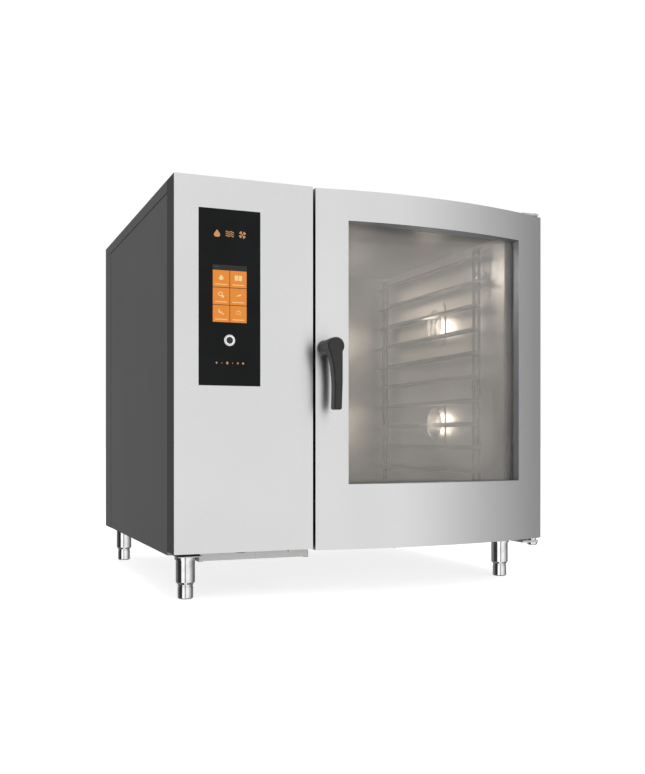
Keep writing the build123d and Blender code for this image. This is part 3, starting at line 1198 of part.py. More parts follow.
# inner frame: the flat back of the door round the inner glass
PAN_LEFT = LEFT_X + 447.5
PAN_RIGHT = LEFT_X + 1030.5
PAN_LOW = CAVITY_FLOOR + 40.0
PAN_HIGH = CAVITY_CEILING - 2.0
with BuildPart() as door_back_frame:
    with BuildSketch(Plane.XZ.offset(-DOOR_PAN_Y)):
        with Locations(((DOOR_LEFT + DOOR_RIGHT) / 2 - 3.0, (DOOR_BOTTOM + DOOR_TOP) / 2)):
            Rectangle(DOOR_RIGHT - DOOR_LEFT - 6.0, DOOR_TOP - DOOR_BOTTOM)
        with Locations(((PAN_LEFT + PAN_RIGHT) / 2, (PAN_LOW + PAN_HIGH) / 2)):
            RectangleRounded(PAN_RIGHT - PAN_LEFT, PAN_HIGH - PAN_LOW, 12.0, mode=Mode.SUBTRACT)
        with Locations((SPINDLE_X, SPINDLE_Z)):
            Circle(SPINDLE_RADIUS + 0.06, mode=Mode.SUBTRACT)
    extrude(amount=-SHEET)
    # boss that guides the spindle
    with BuildSketch(Plane.XZ.offset(-DOOR_PAN_Y)):
        with Locations((SPINDLE_X, SPINDLE_Z)):
            Circle(SPINDLE_RADIUS + 4.0)
            Circle(SPINDLE_RADIUS + 0.06, mode=Mode.SUBTRACT)
    extrude(amount=14.0)
door_back_frame.part.label = "door_back_frame"
export_step(door_back_frame.part, "parts/door_back_frame.step")

# inner glass: the large flat pane that the seal presses on
INNER_LEFT = LEFT_X + 406.5
INNER_RIGHT = LEFT_X + 1038.5
INNER_LOW = CAVITY_FLOOR - SEAL_WIDTH - 6.0
INNER_HIGH = CAVITY_CEILING + SEAL_WIDTH + 6.0
INNER_X = (INNER_LEFT + INNER_RIGHT) / 2
INNER_Z = (INNER_LOW + INNER_HIGH) / 2
with BuildPart() as inner_glass:
    with BuildSketch(Plane.XZ.offset(-(GLASS_BACK_Y - 5.0))):
        with Locations((INNER_X, INNER_Z)):
            RectangleRounded(INNER_RIGHT - INNER_LEFT, INNER_HIGH - INNER_LOW, 8.0)
    extrude(amount=-5.0)
inner_glass.part.label = "inner_glass"
export_step(inner_glass.part, "parts/inner_glass.step")

# glazing seals: one ring before the outer glass, one between the inner frame and the inner glass
with BuildPart() as glass_gaskets:
    with BuildSketch(OUTER_GLASS_PLANE):
        Rectangle(CHORD + 28.0, WINDOW_HEIGHT + 28.0)
        Rectangle(CHORD + 0.4, WINDOW_HEIGHT + 0.4, mode=Mode.SUBTRACT)
    extrude(amount=GLAZING_SEAL)
    with BuildSketch(Plane.XZ.offset(-(DOOR_PAN_Y + SHEET))):
        with Locations((INNER_X, INNER_Z)):
            RectangleRounded(INNER_RIGHT - INNER_LEFT, INNER_HIGH - INNER_LOW, 8.0)
        with Locations(((PAN_LEFT + PAN_RIGHT) / 2, (PAN_LOW + PAN_HIGH) / 2)):
            RectangleRounded(PAN_RIGHT - PAN_LEFT, PAN_HIGH - PAN_LOW, 12.0, mode=Mode.SUBTRACT)
    extrude(amount=-1.0)
glass_gaskets.part.label = "glass_gaskets"
export_step(glass_gaskets.part, "parts/glass_gaskets.step")

# glass clips: moulded holders between the inner frame and the outer glass, near the corners
CLIP_HEIGHT = 96.0
CLIP_ZS = (BODY_BOTTOM + 224.0, BODY_BOTTOM + 804.0)
with BuildPart() as glass_clips:
    for clip_left, clip_right in ((PAN_LEFT - 14.0, PAN_LEFT), (PAN_RIGHT + 0.5, PAN_RIGHT + 10.5)):
        for clip_z in CLIP_ZS:
            span(
                (clip_left, FRONT_Y - 60.0, clip_z - CLIP_HEIGHT / 2),
                (clip_right, DOOR_PAN_Y, clip_z + CLIP_HEIGHT / 2),
            )
    split(bisect_by=OUTER_GLASS_PLANE.offset(-PANE), keep=Keep.BOTTOM)
    fillet(glass_clips.edges().filter_by(Axis.Y), radius=3.5)
glass_clips.part.label = "glass_clips"
export_step(glass_clips.part, "parts/glass_clips.step")

# hinge bushes: flanged plates inside the door's top and bottom folds
with BuildPart() as hinge_bushes:
    for bush_low, plate_low in (
        (DOOR_BOTTOM + SHEET, DOOR_BOTTOM + SHEET),
        (DOOR_TOP - SHEET - 26.0, DOOR_TOP - SHEET - 5.0),
    ):
        with BuildSketch(Plane.XY.offset(bush_low)):
            with Locations((HINGE_X, HINGE_Y)):
                Circle(12.0)
        extrude(amount=26.0)
        span((HINGE_X - 30.0, HINGE_Y - 10.0, plate_low), (HINGE_X + 18.0, DOOR_PAN_Y, plate_low + 5.0))
    with BuildSketch(Plane.XY.offset(DOOR_BOTTOM)):
        with Locations((HINGE_X, HINGE_Y)):
            Circle(HINGE_PIN_RADIUS + 0.06)
    extrude(amount=DOOR_TOP - DOOR_BOTTOM, mode=Mode.SUBTRACT)
hinge_bushes.part.label = "hinge_bushes"
export_step(hinge_bushes.part, "parts/hinge_bushes.step")

# handle rose: the round base on the curved skin
ROSE_FRONT = FRONT_Y - 17.0
with BuildPart() as handle_rose:
    with BuildSketch(Plane.XZ.offset(-ROSE_FRONT)):
        with Locations((SPINDLE_X, SPINDLE_Z)):
            Circle(21.0)
    extrude(amount=-30.0)
    with BuildSketch(Plane.XY.offset(DOOR_BOTTOM)):
        with BuildLine():
            door_outline(-0.05, DOOR_LEFT - 20.0, DOOR_RIGHT, FRAME_Y)
        make_face()
    extrude(amount=DOOR_TOP - DOOR_BOTTOM, mode=Mode.SUBTRACT)
    fillet(handle_rose.edges().filter_by(GeomType.CIRCLE).group_by(Axis.Y)[0], radius=2.5)
    with BuildSketch(Plane.XZ.offset(-(FRONT_Y - 40.0))):
        with Locations((SPINDLE_X, SPINDLE_Z)):
            Circle(SPINDLE_RADIUS + 0.06)
    extrude(amount=-80.0, mode=Mode.SUBTRACT)
handle_rose.part.label = "handle_rose"
export_step(handle_rose.part, "parts/handle_rose.step")

# drip gutter: a trough under the inner glass that catches condensate
GUTTER_LOW = DOOR_BOTTOM + 34.0
with BuildPart() as drip_gutter:
    span(
        (DOOR_LEFT + 24.0, DOOR_PAN_Y + SHEET, GUTTER_LOW),
        (HINGE_X - 40.0, FRAME_Y - 4.0, GUTTER_LOW + 22.0),
    )
    span(
        (DOOR_LEFT + 26.0, DOOR_PAN_Y + SHEET + 2.0, GUTTER_LOW + 2.0),
        (HINGE_X - 42.0, FRAME_Y - 6.0, GUTTER_LOW + 23.0),
        Mode.SUBTRACT,
    )
drip_gutter.part.label = "drip_gutter"
export_step(drip_gutter.part, "parts/drip_gutter.step")

# ================================================================ HANDLE
# grip: a round head that runs down into a lever, straight on the right and tapering on the left
HEAD_RADIUS = 22.5
GRIP_THICKNESS = 26.0
NECK_RADIUS = 20.5
LEVER_LENGTH = SPINDLE_Z - HANDLE_END_Z


def from_spindle(across, up):
    """A point on the front of the handle, measured from the spindle."""
    return (SPINDLE_X + across, SPINDLE_Z + up)


with BuildPart() as handle_grip:
    # seen from the front: a round head over a lever with a narrow waist
    with BuildSketch(Plane.XZ.offset(-HANDLE_FRONT)):
        with Locations((SPINDLE_X, SPINDLE_Z)):
            Circle(HEAD_RADIUS)
        with BuildLine():
            Polyline(
                from_spindle(-20.5, -8.0),
                from_spindle(0.0, 0.0),
                from_spindle(18.0, -4.0),
                from_spindle(18.0, -90.0),
                from_spindle(15.5, -LEVER_LENGTH),
                from_spindle(-5.5, -LEVER_LENGTH),
            )
            Spline(
                from_spindle(-5.5, -LEVER_LENGTH),
                from_spindle(-4.5, -95.0),
                from_spindle(-10.0, -43.0),
                from_spindle(-20.5, -8.0),
            )
        make_face()
    extrude(amount=-GRIP_THICKNESS)
    fillet(handle_grip.edges().filter_by(Axis.Y).group_by(Axis.Z)[0], radius=5.5)
    fillet(handle_grip.faces().sort_by(Axis.Y)[0].edges(), radius=5.0)
    with BuildSketch(Plane.XZ.offset(-(HANDLE_FRONT + GRIP_THICKNESS))):
        with Locations((SPINDLE_X, SPINDLE_Z)):
            Circle(NECK_RADIUS)
    extrude(amount=-(ROSE_FRONT - 0.5 - HANDLE_FRONT - GRIP_THICKNESS))
    with BuildSketch(Plane.XZ.offset(-(ROSE_FRONT + 1.0))):
        with Locations((SPINDLE_X, SPINDLE_Z)):
            Circle(SPINDLE_RADIUS)
    extrude(amount=55.0, mode=Mode.SUBTRACT)
handle_grip.part.label = "handle_grip"
export_step(handle_grip.part, "parts/handle_grip.step")

# spindle: one round rod through the door
SPINDLE_TIP = FRAME_Y + 8.5
with BuildPart() as handle_spindle:
    with BuildSketch(Plane.XZ.offset(-(ROSE_FRONT - 54.0))):
        with Locations((SPINDLE_X, SPINDLE_Z)):
            Circle(SPINDLE_RADIUS)
    extrude(amount=-(SPINDLE_TIP - ROSE_FRONT + 54.0))
handle_spindle.part.label = "handle_spindle"
export_step(handle_spindle.part, "parts/handle_spindle.step")

# latch bar: upright behind the keeper while the handle hangs down
with BuildPart() as latch_bar:
    with BuildSketch(Plane.XZ.offset(-(FRAME_Y + 0.5))):
        with Locations((SPINDLE_X, SPINDLE_Z)):
            SlotOverall(2 * LATCH_HALF, 2 * SPINDLE_RADIUS + 1.0, rotation=90)
            Circle(SPINDLE_RADIUS, mode=Mode.SUBTRACT)
    extrude(amount=-8.0)
latch_bar.part.label = "latch_bar"
export_step(latch_bar.part, "parts/latch_bar.step")
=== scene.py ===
import json
import math

import bmesh
import bpy
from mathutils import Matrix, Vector


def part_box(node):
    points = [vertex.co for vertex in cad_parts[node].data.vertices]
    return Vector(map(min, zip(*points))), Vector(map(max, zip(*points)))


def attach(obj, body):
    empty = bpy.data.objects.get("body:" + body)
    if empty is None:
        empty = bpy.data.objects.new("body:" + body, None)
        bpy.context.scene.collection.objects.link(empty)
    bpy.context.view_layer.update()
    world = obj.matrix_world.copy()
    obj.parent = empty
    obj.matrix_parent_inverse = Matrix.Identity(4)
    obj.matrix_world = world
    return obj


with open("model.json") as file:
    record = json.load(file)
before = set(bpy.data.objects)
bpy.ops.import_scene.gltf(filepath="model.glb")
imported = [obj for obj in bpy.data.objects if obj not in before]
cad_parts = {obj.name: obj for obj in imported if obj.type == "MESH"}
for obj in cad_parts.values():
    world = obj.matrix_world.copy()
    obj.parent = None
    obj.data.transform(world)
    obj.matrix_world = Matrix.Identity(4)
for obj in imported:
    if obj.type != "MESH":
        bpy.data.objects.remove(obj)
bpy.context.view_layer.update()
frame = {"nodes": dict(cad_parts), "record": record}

# Looks of a ten-level combi steamer oven. Metres throughout, in the part's own frame: X to the right,
# Y to the back, Z up, with the floor at Z 0.

NODES = frame["nodes"]


# ---------------------------------------------------------------- camera, floor and light

CAMERA_PLACE = (-1.0957, -2.8296, 0.4006)
CAMERA_YAW = math.radians(21.69)          # turned from straight ahead towards +X
CAMERA_LENS = 45.09                       # mm, for the default 36 mm sensor
CAMERA_SHIFT_UP = 0.0704


def make_camera():
    data = bpy.data.cameras.new("camera")
    data.lens = CAMERA_LENS
    data.shift_y = CAMERA_SHIFT_UP
    camera = bpy.data.objects.new("camera", data)
    bpy.context.scene.collection.objects.link(camera)
    camera.location = CAMERA_PLACE
    camera.rotation_euler = (math.pi / 2, 0.0, -CAMERA_YAW)
    bpy.context.scene.camera = camera


class Graph:
    """A short way to write a node tree: g.add(type, inputs, properties) returns the new node."""

    def __init__(self, tree):
        self.tree = tree
        self.tree.nodes.clear()

    def add(self, kind, inputs=None, **properties):
        node = self.tree.nodes.new("ShaderNode" + kind)
        for name, value in properties.items():
            setattr(node, name, value)
        for name, value in (inputs or {}).items():
            self.set(node, name, value)
        return node

    def set(self, node, name, value):
        socket = node.inputs[name]
        if isinstance(value, bpy.types.NodeSocket):
            self.tree.links.new(value, socket)
        elif isinstance(value, bpy.types.Node):
            self.tree.links.new(value.outputs[0], socket)
        else:
            socket.default_value = value

    def math(self, operation, first, second=0.0, clamp=False):
        node = self.add("Math", operation=operation, use_clamp=clamp)
        self.set(node, 0, first)
        self.set(node, 1, second)
        return node.outputs[0]

    def ramp(self, factor, stops, interpolation="LINEAR"):
        node = self.add("ValToRGB")
        ramp = node.color_ramp
        ramp.interpolation = interpolation
        while len(ramp.elements) < len(stops):
            ramp.elements.new(0.5)
        for element, (place, shade) in zip(ramp.elements, stops):
            element.position = place
            element.color = shade if len(shade) == 4 else (*shade, 1.0)
        self.set(node, "Fac", factor)
        return node.outputs["Color"]

    def mix(self, factor, first, second, blend="MIX"):
        node = self.add("Mix", data_type="RGBA", blend_type=blend)
        self.set(node, 0, factor)
        self.set(node, 6, first)
        self.set(node, 7, second)
        return node.outputs[2]


def grey(value):
    return (value, value, value, 1.0)


# How bright the studio is in each direction round the oven, in degrees from straight in front
# towards the right, as (degrees, brightness).
STUDIO_RING = (
    (-180.0, 0.26),
    (-132.0, 0.22),
    (-108.0, 0.04),
    (-64.0, 0.03),
    (-56.0, 1.3),
    (-24.0, 1.25),
    (-19.0, 0.25),
    (-10.0, 0.25),
    (-5.0, 1.1),
    (5.0, 1.12),
    (15.0, 1.0),
    (24.0, 1.1),
    (34.0, 0.96),
    (56.0, 0.6),
    (80.0, 0.3),
    (96.0, 0.14),
    (180.0, 0.26),
)


def make_world():
    """A white backdrop for the eye, and for the light a ring of soft boxes with dark gaps between them."""
    world = bpy.data.worlds.new("studio")
    bpy.context.scene.world = world
    world.use_nodes = True
    g = Graph(world.node_tree)
    direction = g.add("TexCoord").outputs["Generated"]
    parts = g.add("SeparateXYZ", {0: direction})
    front = g.math("MULTIPLY", parts.outputs["Y"], -1.0)
    angle = g.math("ARCTAN2", parts.outputs["X"], front)
    turn = g.math("MULTIPLY_ADD", angle, 1.0 / (2.0 * math.pi))
    turn.node.inputs[2].default_value = 0.5
    ring = g.ramp(turn, [((a + 180.0) / 360.0, (b, b, b)) for a, b in STUDIO_RING])
    up = g.math("MAXIMUM", parts.outputs["Z"], 0.0)
    overhead = g.ramp(up, [(0.0, (0, 0, 0)), (0.45, (0.1, 0.1, 0.1)), (0.9, (1, 1, 1))])
    light = g.mix(overhead, ring, (0.5, 0.5, 0.51, 1.0))
    eye = g.add("LightPath").outputs["Is Camera Ray"]
    shown = g.mix(eye, light, grey(1.0))
    back = g.add("Background", {"Color": shown, "Strength": 1.0})
    out = g.add("OutputWorld")
    g.set(out, "Surface", back)


FLOOR_RADIUS = 60.0                       # wide enough to fade into the white backdrop
FLOOR_GLOW = 0.7                          # lifts the paper to the backdrop's white


def make_floor():
    """A plain sheet of pale paper."""
    mesh = bpy.data.meshes.new("floor")
    bm = bmesh.new()
    bmesh.ops.create_circle(bm, cap_ends=True, cap_tris=False, segments=96, radius=FLOOR_RADIUS)
    bm.to_mesh(mesh)
    bm.free()
    floor = bpy.data.objects.new("floor", mesh)
    bpy.context.scene.collection.objects.link(floor)
    material = bpy.data.materials.new("floor_paper")
    material.use_nodes = True
    g = Graph(material.node_tree)
    place = g.add("TexCoord").outputs["Object"]
    grain = g.add("TexNoise", {"Vector": place, "Scale": 60.0, "Detail": 4.0})
    tone = g.ramp(grain, [(0.3, (0.9, 0.9, 0.9)), (0.7, (0.93, 0.93, 0.93))])
    shader = g.add("BsdfPrincipled", {"Base Color": tone, "Roughness": 0.85})
    shader.inputs["Specular IOR Level"].default_value = 0.1
    shader.inputs["Emission Color"].default_value = grey(1.0)
    shader.inputs["Emission Strength"].default_value = FLOOR_GLOW
    out = g.add("OutputMaterial")
    g.set(out, "Surface", shader)
    mesh.materials.append(material)
    floor.visible_glossy = False              # the polished legs mirror the studio, not the paper


def make_area_light(name, place, target, size, power, colour=(1.0, 1.0, 1.0)):
    data = bpy.data.lights.new(name, "AREA")
    data.shape = "RECTANGLE"
    data.size, data.size_y = size
    data.energy = power
    data.color = colour
    light = bpy.data.objects.new(name, data)
    bpy.context.scene.collection.objects.link(light)
    light.location = place
    aim = Vector(target) - Vector(place)
    light.rotation_euler = aim.to_track_quat("-Z", "Y").to_euler()
    return light


SOFT_BOX_PLACE = (0.3, -0.4, 3.2)
SOFT_BOX_SIZE = (3.0, 3.0)
SOFT_BOX_WATTS = 45.0


def make_lights():
    make_area_light("top_soft_box", SOFT_BOX_PLACE, (0.0, 0.0, 0.0), SOFT_BOX_SIZE, SOFT_BOX_WATTS)


# ---------------------------------------------------------------- materials

VERTICAL = (0.06, 0.04, 1.0)              # a direction for tangents that no flat face looks along


def new_material(name):
    material = bpy.data.materials.new(name)
    material.use_nodes = True
    return material, Graph(material.node_tree)


def finish_material(material, g, shader):
    out = g.add("OutputMaterial")
    g.set(out, "Surface", shader)
    return material


def brushed_steel(name, dark, light, roughness, grain, anisotropy=0.0, bump=0.03):
    """Sheet with fine grinding lines. grain gives how tight the pattern is along X, Y and Z."""
    material, g = new_material(name)
    place = g.add("TexCoord").outputs["Object"]
    stretched = g.add("Mapping", {"Vector": place, "Scale": grain})
    lines = g.add("TexNoise", {"Vector": stretched, "Scale": 1.0, "Detail": 6.0, "Roughness": 0.65})
    cloud = g.add("TexNoise", {"Vector": place, "Scale": 2.6, "Detail": 3.0})
    mixed = g.math("MULTIPLY_ADD", lines.outputs[0], 0.6)
    g.set(mixed.node, 2, g.math("MULTIPLY", cloud.outputs[0], 0.4))
    tone = g.ramp(mixed, [(0.32, dark), (0.68, light)])
    rough = g.math("MULTIPLY_ADD", lines.outputs[0], 0.12)
    rough.node.inputs[2].default_value = roughness - 0.06
    ridges = g.add("Bump", {"Height": lines.outputs[0], "Strength": bump, "Distance": 0.0004})
    shader = g.add("BsdfPrincipled", {"Base Color": tone, "Roughness": rough, "Normal": ridges})
    shader.inputs["Metallic"].default_value = 1.0
    if anisotropy:
        shader.inputs["Anisotropic"].default_value = anisotropy
        g.set(shader, "Tangent", g.add("CombineXYZ", {0: VERTICAL[0], 1: VERTICAL[1], 2: VERTICAL[2]}))
    return finish_material(material, g, shader)


def turned_metal(name, dark, light, roughness, pitch=900.0):
    """Polished turned parts: faint rings round the part and small stains."""
    material, g = new_material(name)
    place = g.add("TexCoord").outputs["Object"]
    stretched = g.add("Mapping", {"Vector": place, "Scale": (12.0, 12.0, pitch)})
    rings = g.add("TexNoise", {"Vector": stretched, "Scale": 1.0, "Detail": 3.0})
    stains = g.add("TexNoise", {"Vector": place, "Scale": 45.0, "Detail": 5.0})
    tone = g.ramp(stains, [(0.3, dark), (0.6, light)])
    rough = g.math("MULTIPLY_ADD", rings.outputs[0], 0.1)
    rough.node.inputs[2].default_value = roughness - 0.05
    ridges = g.add("Bump", {"Height": rings.outputs[0], "Strength": 0.05, "Distance": 0.0003})
    shader = g.add("BsdfPrincipled", {"Base Color": tone, "Roughness": rough, "Normal": ridges})
    shader.inputs["Metallic"].default_value = 1.0
    return finish_material(material, g, shader)


def moulded_plastic(name, dark, light, roughness, grain=1400.0, bump=0.12, coat=0.0):
    """Plastic or rubber from a mould: a fine grain, and a slow change in tone."""
    material, g = new_material(name)
    place = g.add("TexCoord").outputs["Object"]
    pits = g.add("TexVoronoi", {"Vector": place, "Scale": grain})
    cloud = g.add("TexNoise", {"Vector": place, "Scale": 30.0, "Detail": 4.0})
    tone = g.ramp(cloud, [(0.3, dark), (0.7, light)])
    rough = g.math("MULTIPLY_ADD", cloud.outputs[0], 0.16)
    rough.node.inputs[2].default_value = roughness - 0.08
    skin = g.add("Bump", {"Height": pits.outputs["Distance"], "Strength": bump, "Distance": 0.0002})
    shader = g.add("BsdfPrincipled", {"Base Color": tone, "Roughness": rough, "Normal": skin})
    if coat:
        shader.inputs["Coat Weight"].default_value = coat
        shader.inputs["Coat Roughness"].default_value = 0.08
    return finish_material(material, g, shader)


def cast_metal(name, dark, light, roughness):
    """Sand-cast metal with a rough skin."""
    material, g = new_material(name)
    place = g.add("TexCoord").outputs["Object"]
    sand = g.add("TexNoise", {"Vector": place, "Scale": 420.0, "Detail": 8.0, "Roughness": 0.7})
    tone = g.ramp(sand, [(0.3, dark), (0.7, light)])
    skin = g.add("Bump", {"Height": sand.outputs[0], "Strength": 0.35, "Distance": 0.0006})
    shader = g.add("BsdfPrincipled", {"Base Color": tone, "Roughness": roughness, "Normal": skin})
    shader.inputs["Metallic"].default_value = 0.9
    return finish_material(material, g, shader)


def wool(name):
    """Pressed mineral fibres."""
    material, g = new_material(name)
    place = g.add("TexCoord").outputs["Object"]
    fibres = g.add("TexNoise", {"Vector": place, "Scale": 160.0, "Detail": 9.0, "Roughness": 0.75})
    tone = g.ramp(fibres, [(0.3, (0.4, 0.34, 0.17)), (0.7, (0.66, 0.6, 0.38))])
    tufts = g.add("Bump", {"Height": fibres.outputs[0], "Strength": 0.8, "Distance": 0.004})
    shader = g.add("BsdfPrincipled", {"Base Color": tone, "Roughness": 0.95, "Normal": tufts})
    return finish_material(material, g, shader)


def board_lacquer(name):
    """Circuit board lacquer over copper tracks."""
    material, g = new_material(name)
    place = g.add("TexCoord").outputs["Object"]
    tracks = g.add("TexBrick", {"Vector": place, "Scale": 110.0})
    tracks.inputs["Color1"].default_value = (0.02, 0.13, 0.06, 1.0)
    tracks.inputs["Color2"].default_value = (0.03, 0.17, 0.08, 1.0)
    tracks.inputs["Mortar"].default_value = (0.09, 0.26, 0.12, 1.0)
    tracks.inputs["Mortar Size"].default_value = 0.012
    raised = g.add("Bump", {"Height": tracks.outputs["Fac"], "Strength": 0.2, "Distance": 0.0002})
    shader = g.add("BsdfPrincipled", {"Base Color": tracks.outputs["Color"], "Roughness": 0.3})
    g.set(shader, "Normal", raised)
    return finish_material(material, g, shader)


def pane_glass(name, tint, haze):
    """A clear pane that lets light straight through, with a sheen that grows at low angles."""
    material, g = new_material(name)
    place = g.add("TexCoord").outputs["Object"]
    smear = g.add("TexNoise", {"Vector": place, "Scale": 5.0, "Detail": 5.0, "Distortion": 0.8})
    rough = g.math("MULTIPLY_ADD", smear.outputs[0], 0.06)
    rough.node.inputs[2].default_value = 0.01
    clear = g.add("BsdfTransparent", {"Color": tint})
    gloss = g.add("BsdfGlossy", {"Color": grey(1.0), "Roughness": rough})
    film = g.add("BsdfDiffuse", {"Color": (0.75, 0.72, 0.68, 1.0)})
    edge = g.add("Fresnel", {"IOR": 1.5})
    veil = g.ramp(smear, [(0.35, grey(0.4 * haze)), (0.75, grey(haze))])
    body = g.add("MixShader", {0: veil, 1: clear, 2: film})
    shader = g.add("MixShader", {0: edge, 1: body, 2: gloss})
    return finish_material(material, g, shader)


def glowing(name, colour, strength, paint=1.0):
    """A surface that gives off light: a screen or bulb, or a print with a painted glow. paint says how
    much of its colour it also shows in plain light.
    """
    material, g = new_material(name)
    place = g.add("TexCoord").outputs["Object"]
    cloud = g.add("TexNoise", {"Vector": place, "Scale": 80.0, "Detail": 3.0})
    tone = g.ramp(cloud, [(0.2, [0.9 * c for c in colour]), (0.8, colour)])
    shade = g.ramp(cloud, [(0.2, [0.9 * paint * c for c in colour]), (0.8, [paint * c for c in colour])])
    shader = g.add("BsdfPrincipled", {"Base Color": shade, "Roughness": 0.3, "Emission Color": tone})
    shader.inputs["Emission Strength"].default_value = strength
    return finish_material(material, g, shader)


def black_glass(name):
    """Back-printed black glass: deep gloss with the faintest smears."""
    material, g = new_material(name)
    place = g.add("TexCoord").outputs["Object"]
    smear = g.add("TexNoise", {"Vector": place, "Scale": 9.0, "Detail": 6.0, "Distortion": 1.0})
    tone = g.ramp(smear, [(0.3, (0.0035, 0.0038, 0.0042)), (0.7, (0.0055, 0.006, 0.0066))])
    rough = g.math("MULTIPLY_ADD", smear.outputs[0], 0.08)
    rough.node.inputs[2].default_value = 0.05
    shader = g.add("BsdfPrincipled", {"Base Color": tone, "Roughness": rough})
    shader.inputs["Specular IOR Level"].default_value = 0.12
    return finish_material(material, g, shader)


def make_materials():
    return {
        "front_steel": brushed_steel(
            "front_steel", (0.66, 0.66, 0.665), (0.74, 0.74, 0.745), 0.3, (60.0, 60.0, 1500.0), 0.7
        ),
        # The side panels: a darker copy of the front's stainless steel, painted shade on top of the dark
        # studio they mirror.
        "side_steel": brushed_steel(
            "side_steel", (0.26, 0.26, 0.264), (0.32, 0.32, 0.325), 0.42, (60.0, 60.0, 1500.0), 0.4
        ),
        "cavity_steel": brushed_steel(
            "cavity_steel", (0.5, 0.47, 0.44), (0.62, 0.59, 0.56), 0.32, (900.0, 900.0, 50.0), 0.5
        ),
        # The racks: near-black steel, painted shade, so that they stand out darker against the walls.
        "rack_steel": turned_metal("rack_steel", (0.05, 0.047, 0.044), (0.09, 0.085, 0.08), 0.46, 300.0),
        "structural_steel": brushed_steel(
            "structural_steel", (0.5, 0.5, 0.51), (0.62, 0.62, 0.63), 0.34, (80.0, 900.0, 900.0)
        ),
        "polished_steel": turned_metal("polished_steel", (0.7, 0.7, 0.7), (0.85, 0.85, 0.86), 0.12),
        "element_steel": turned_metal("element_steel", (0.16, 0.12, 0.1), (0.36, 0.3, 0.27), 0.45),
        "filter_steel": brushed_steel(
            "filter_steel", (0.55, 0.55, 0.54), (0.66, 0.66, 0.65), 0.5, (70.0, 900.0, 900.0)
        ),
        "cast_aluminium": cast_metal("cast_aluminium", (0.36, 0.37, 0.38), (0.52, 0.53, 0.54), 0.5),
        "brass": turned_metal("brass", (0.56, 0.4, 0.17), (0.76, 0.6, 0.33), 0.28),
        "black_glass": black_glass("black_glass"),
        "clear_glass": pane_glass("clear_glass", (0.94, 0.93, 0.915, 1.0), 0.13),
        "lamp_glass": pane_glass("lamp_glass", (0.97, 0.96, 0.93, 1.0), 0.3),
        "black_plastic": moulded_plastic("black_plastic", grey(0.007), grey(0.013), 0.32),
        "button_plastic": moulded_plastic("button_plastic", grey(0.008), grey(0.014), 0.42),
        "white_plastic": moulded_plastic("white_plastic", grey(0.75), grey(0.85), 0.3, coat=0.3),
        "display_plastic": moulded_plastic("display_plastic", grey(0.04), grey(0.06), 0.5),
        "circuit_board": board_lacquer("circuit_board"),
        "silicone": moulded_plastic("silicone", (0.19, 0.155, 0.13), (0.26, 0.215, 0.18), 0.6, 600.0),
        "mineral_wool": wool("mineral_wool"),
        # The window's returns: the door skin's own steel, painted darker and blue-grey, as painted shade
        # and painted reflection.
        "reveal_painted_shade": brushed_steel(
            "reveal_painted_shade", (0.42, 0.45, 0.5), (0.5, 0.53, 0.58), 0.5, (60.0, 900.0, 900.0)
        ),
        # The folded side of the fascia: the same steel painted near black, painted shade in the narrow gap
        # beside the door.
        "return_painted_shade": brushed_steel(
            "return_painted_shade", (0.1, 0.1, 0.102), (0.14, 0.14, 0.142), 0.45, (60.0, 60.0, 1500.0), 0.4
        ),
        "screen_dark": moulded_plastic("screen_dark", grey(0.0006), grey(0.0012), 0.3, bump=0.02),
        "screen_orange": glowing("screen_orange", (0.76, 0.235, 0.012), 1.0, 0.04),
        "screen_cream": glowing("screen_cream", (0.87, 0.6, 0.28), 1.0, 0.04),
        "screen_faint": glowing("screen_faint", (0.07, 0.07, 0.075), 1.0, 0.04),
        # The copper prints on the glass get a painted glow: they light up though they are no lamp.
        "copper_print_painted_glow": glowing("copper_print_painted_glow", (0.62, 0.29, 0.1), 0.75, 0.2),
        # The white ring printed on the start button gets a painted glow as well.
        "white_print_painted_glow": glowing("white_print_painted_glow", (0.95, 0.95, 0.95), 0.9, 0.2),
    }


def dress_nodes(materials):
    """Gives every CAD node the finish of its slot in the record."""
    slot_of = {part["node"]: part["material_slot"] for part in frame["record"]["subparts"]}
    for name, node in NODES.items():
        node.data.materials.clear()
        node.data.materials.append(materials[slot_of[name]])


# ---------------------------------------------------------------- prints on the control glass

PRINT = 0.0002                            # thickness of a print
GLASS_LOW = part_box("control_glass")[0]
GLASS_FRONT = GLASS_LOW.y
SCREEN_LEFT = GLASS_LOW.x + 0.0358
SCREEN_RIGHT = GLASS_LOW.x + 0.1234
SCREEN_BOTTOM = GLASS_LOW.z + 0.1585
TILE_GAP = 0.0016
TILE_WIDTH = (SCREEN_RIGHT - SCREEN_LEFT - TILE_GAP) / 2
TILE_HEIGHT = 0.0421
SCREEN_TOP = SCREEN_BOTTOM + 3 * TILE_HEIGHT + 2 * TILE_GAP
STATUS_HEIGHT = 0.0135
SCREEN_RIM = 0.0008                       # dark edge of the screen round its tiles
MARK_LENGTH = 0.0026
MARK_PITCH = 0.004
MARK_WIDTH = 0.0016
CAPTION_HEIGHT = 0.0019
PICTOGRAM_LIFT = 0.092                    # pictograms over the screen
PICTOGRAM_PITCH = 0.033
DOT_LIFT = 0.0565                         # small marks over the lower edge of the glass
DOT_PITCH = 0.0138
DOT_SIZES = (0.0026, 0.0013, 0.0035, 0.0013, 0.0026, 0.003)
BUTTON_RING = (0.0112, 0.0088)            # outer and inner radius
BUTTON_PRINT = 0.00012


def rounded(left, bottom, right, top, radius, steps=5):
    """The outline of a rectangle with round corners."""
    points = []
    corners = (
        (right - radius, top - radius, 0.0),
        (left + radius, top - radius, 0.5),
        (left + radius, bottom + radius, 1.0),
        (right - radius, bottom + radius, 1.5),
    )
    for x, z, turn in corners:
        for step in range(steps + 1):
            angle = math.pi * (turn + 0.5 * step / steps)
            points.append((x + radius * math.cos(angle), z + radius * math.sin(angle)))
    return points


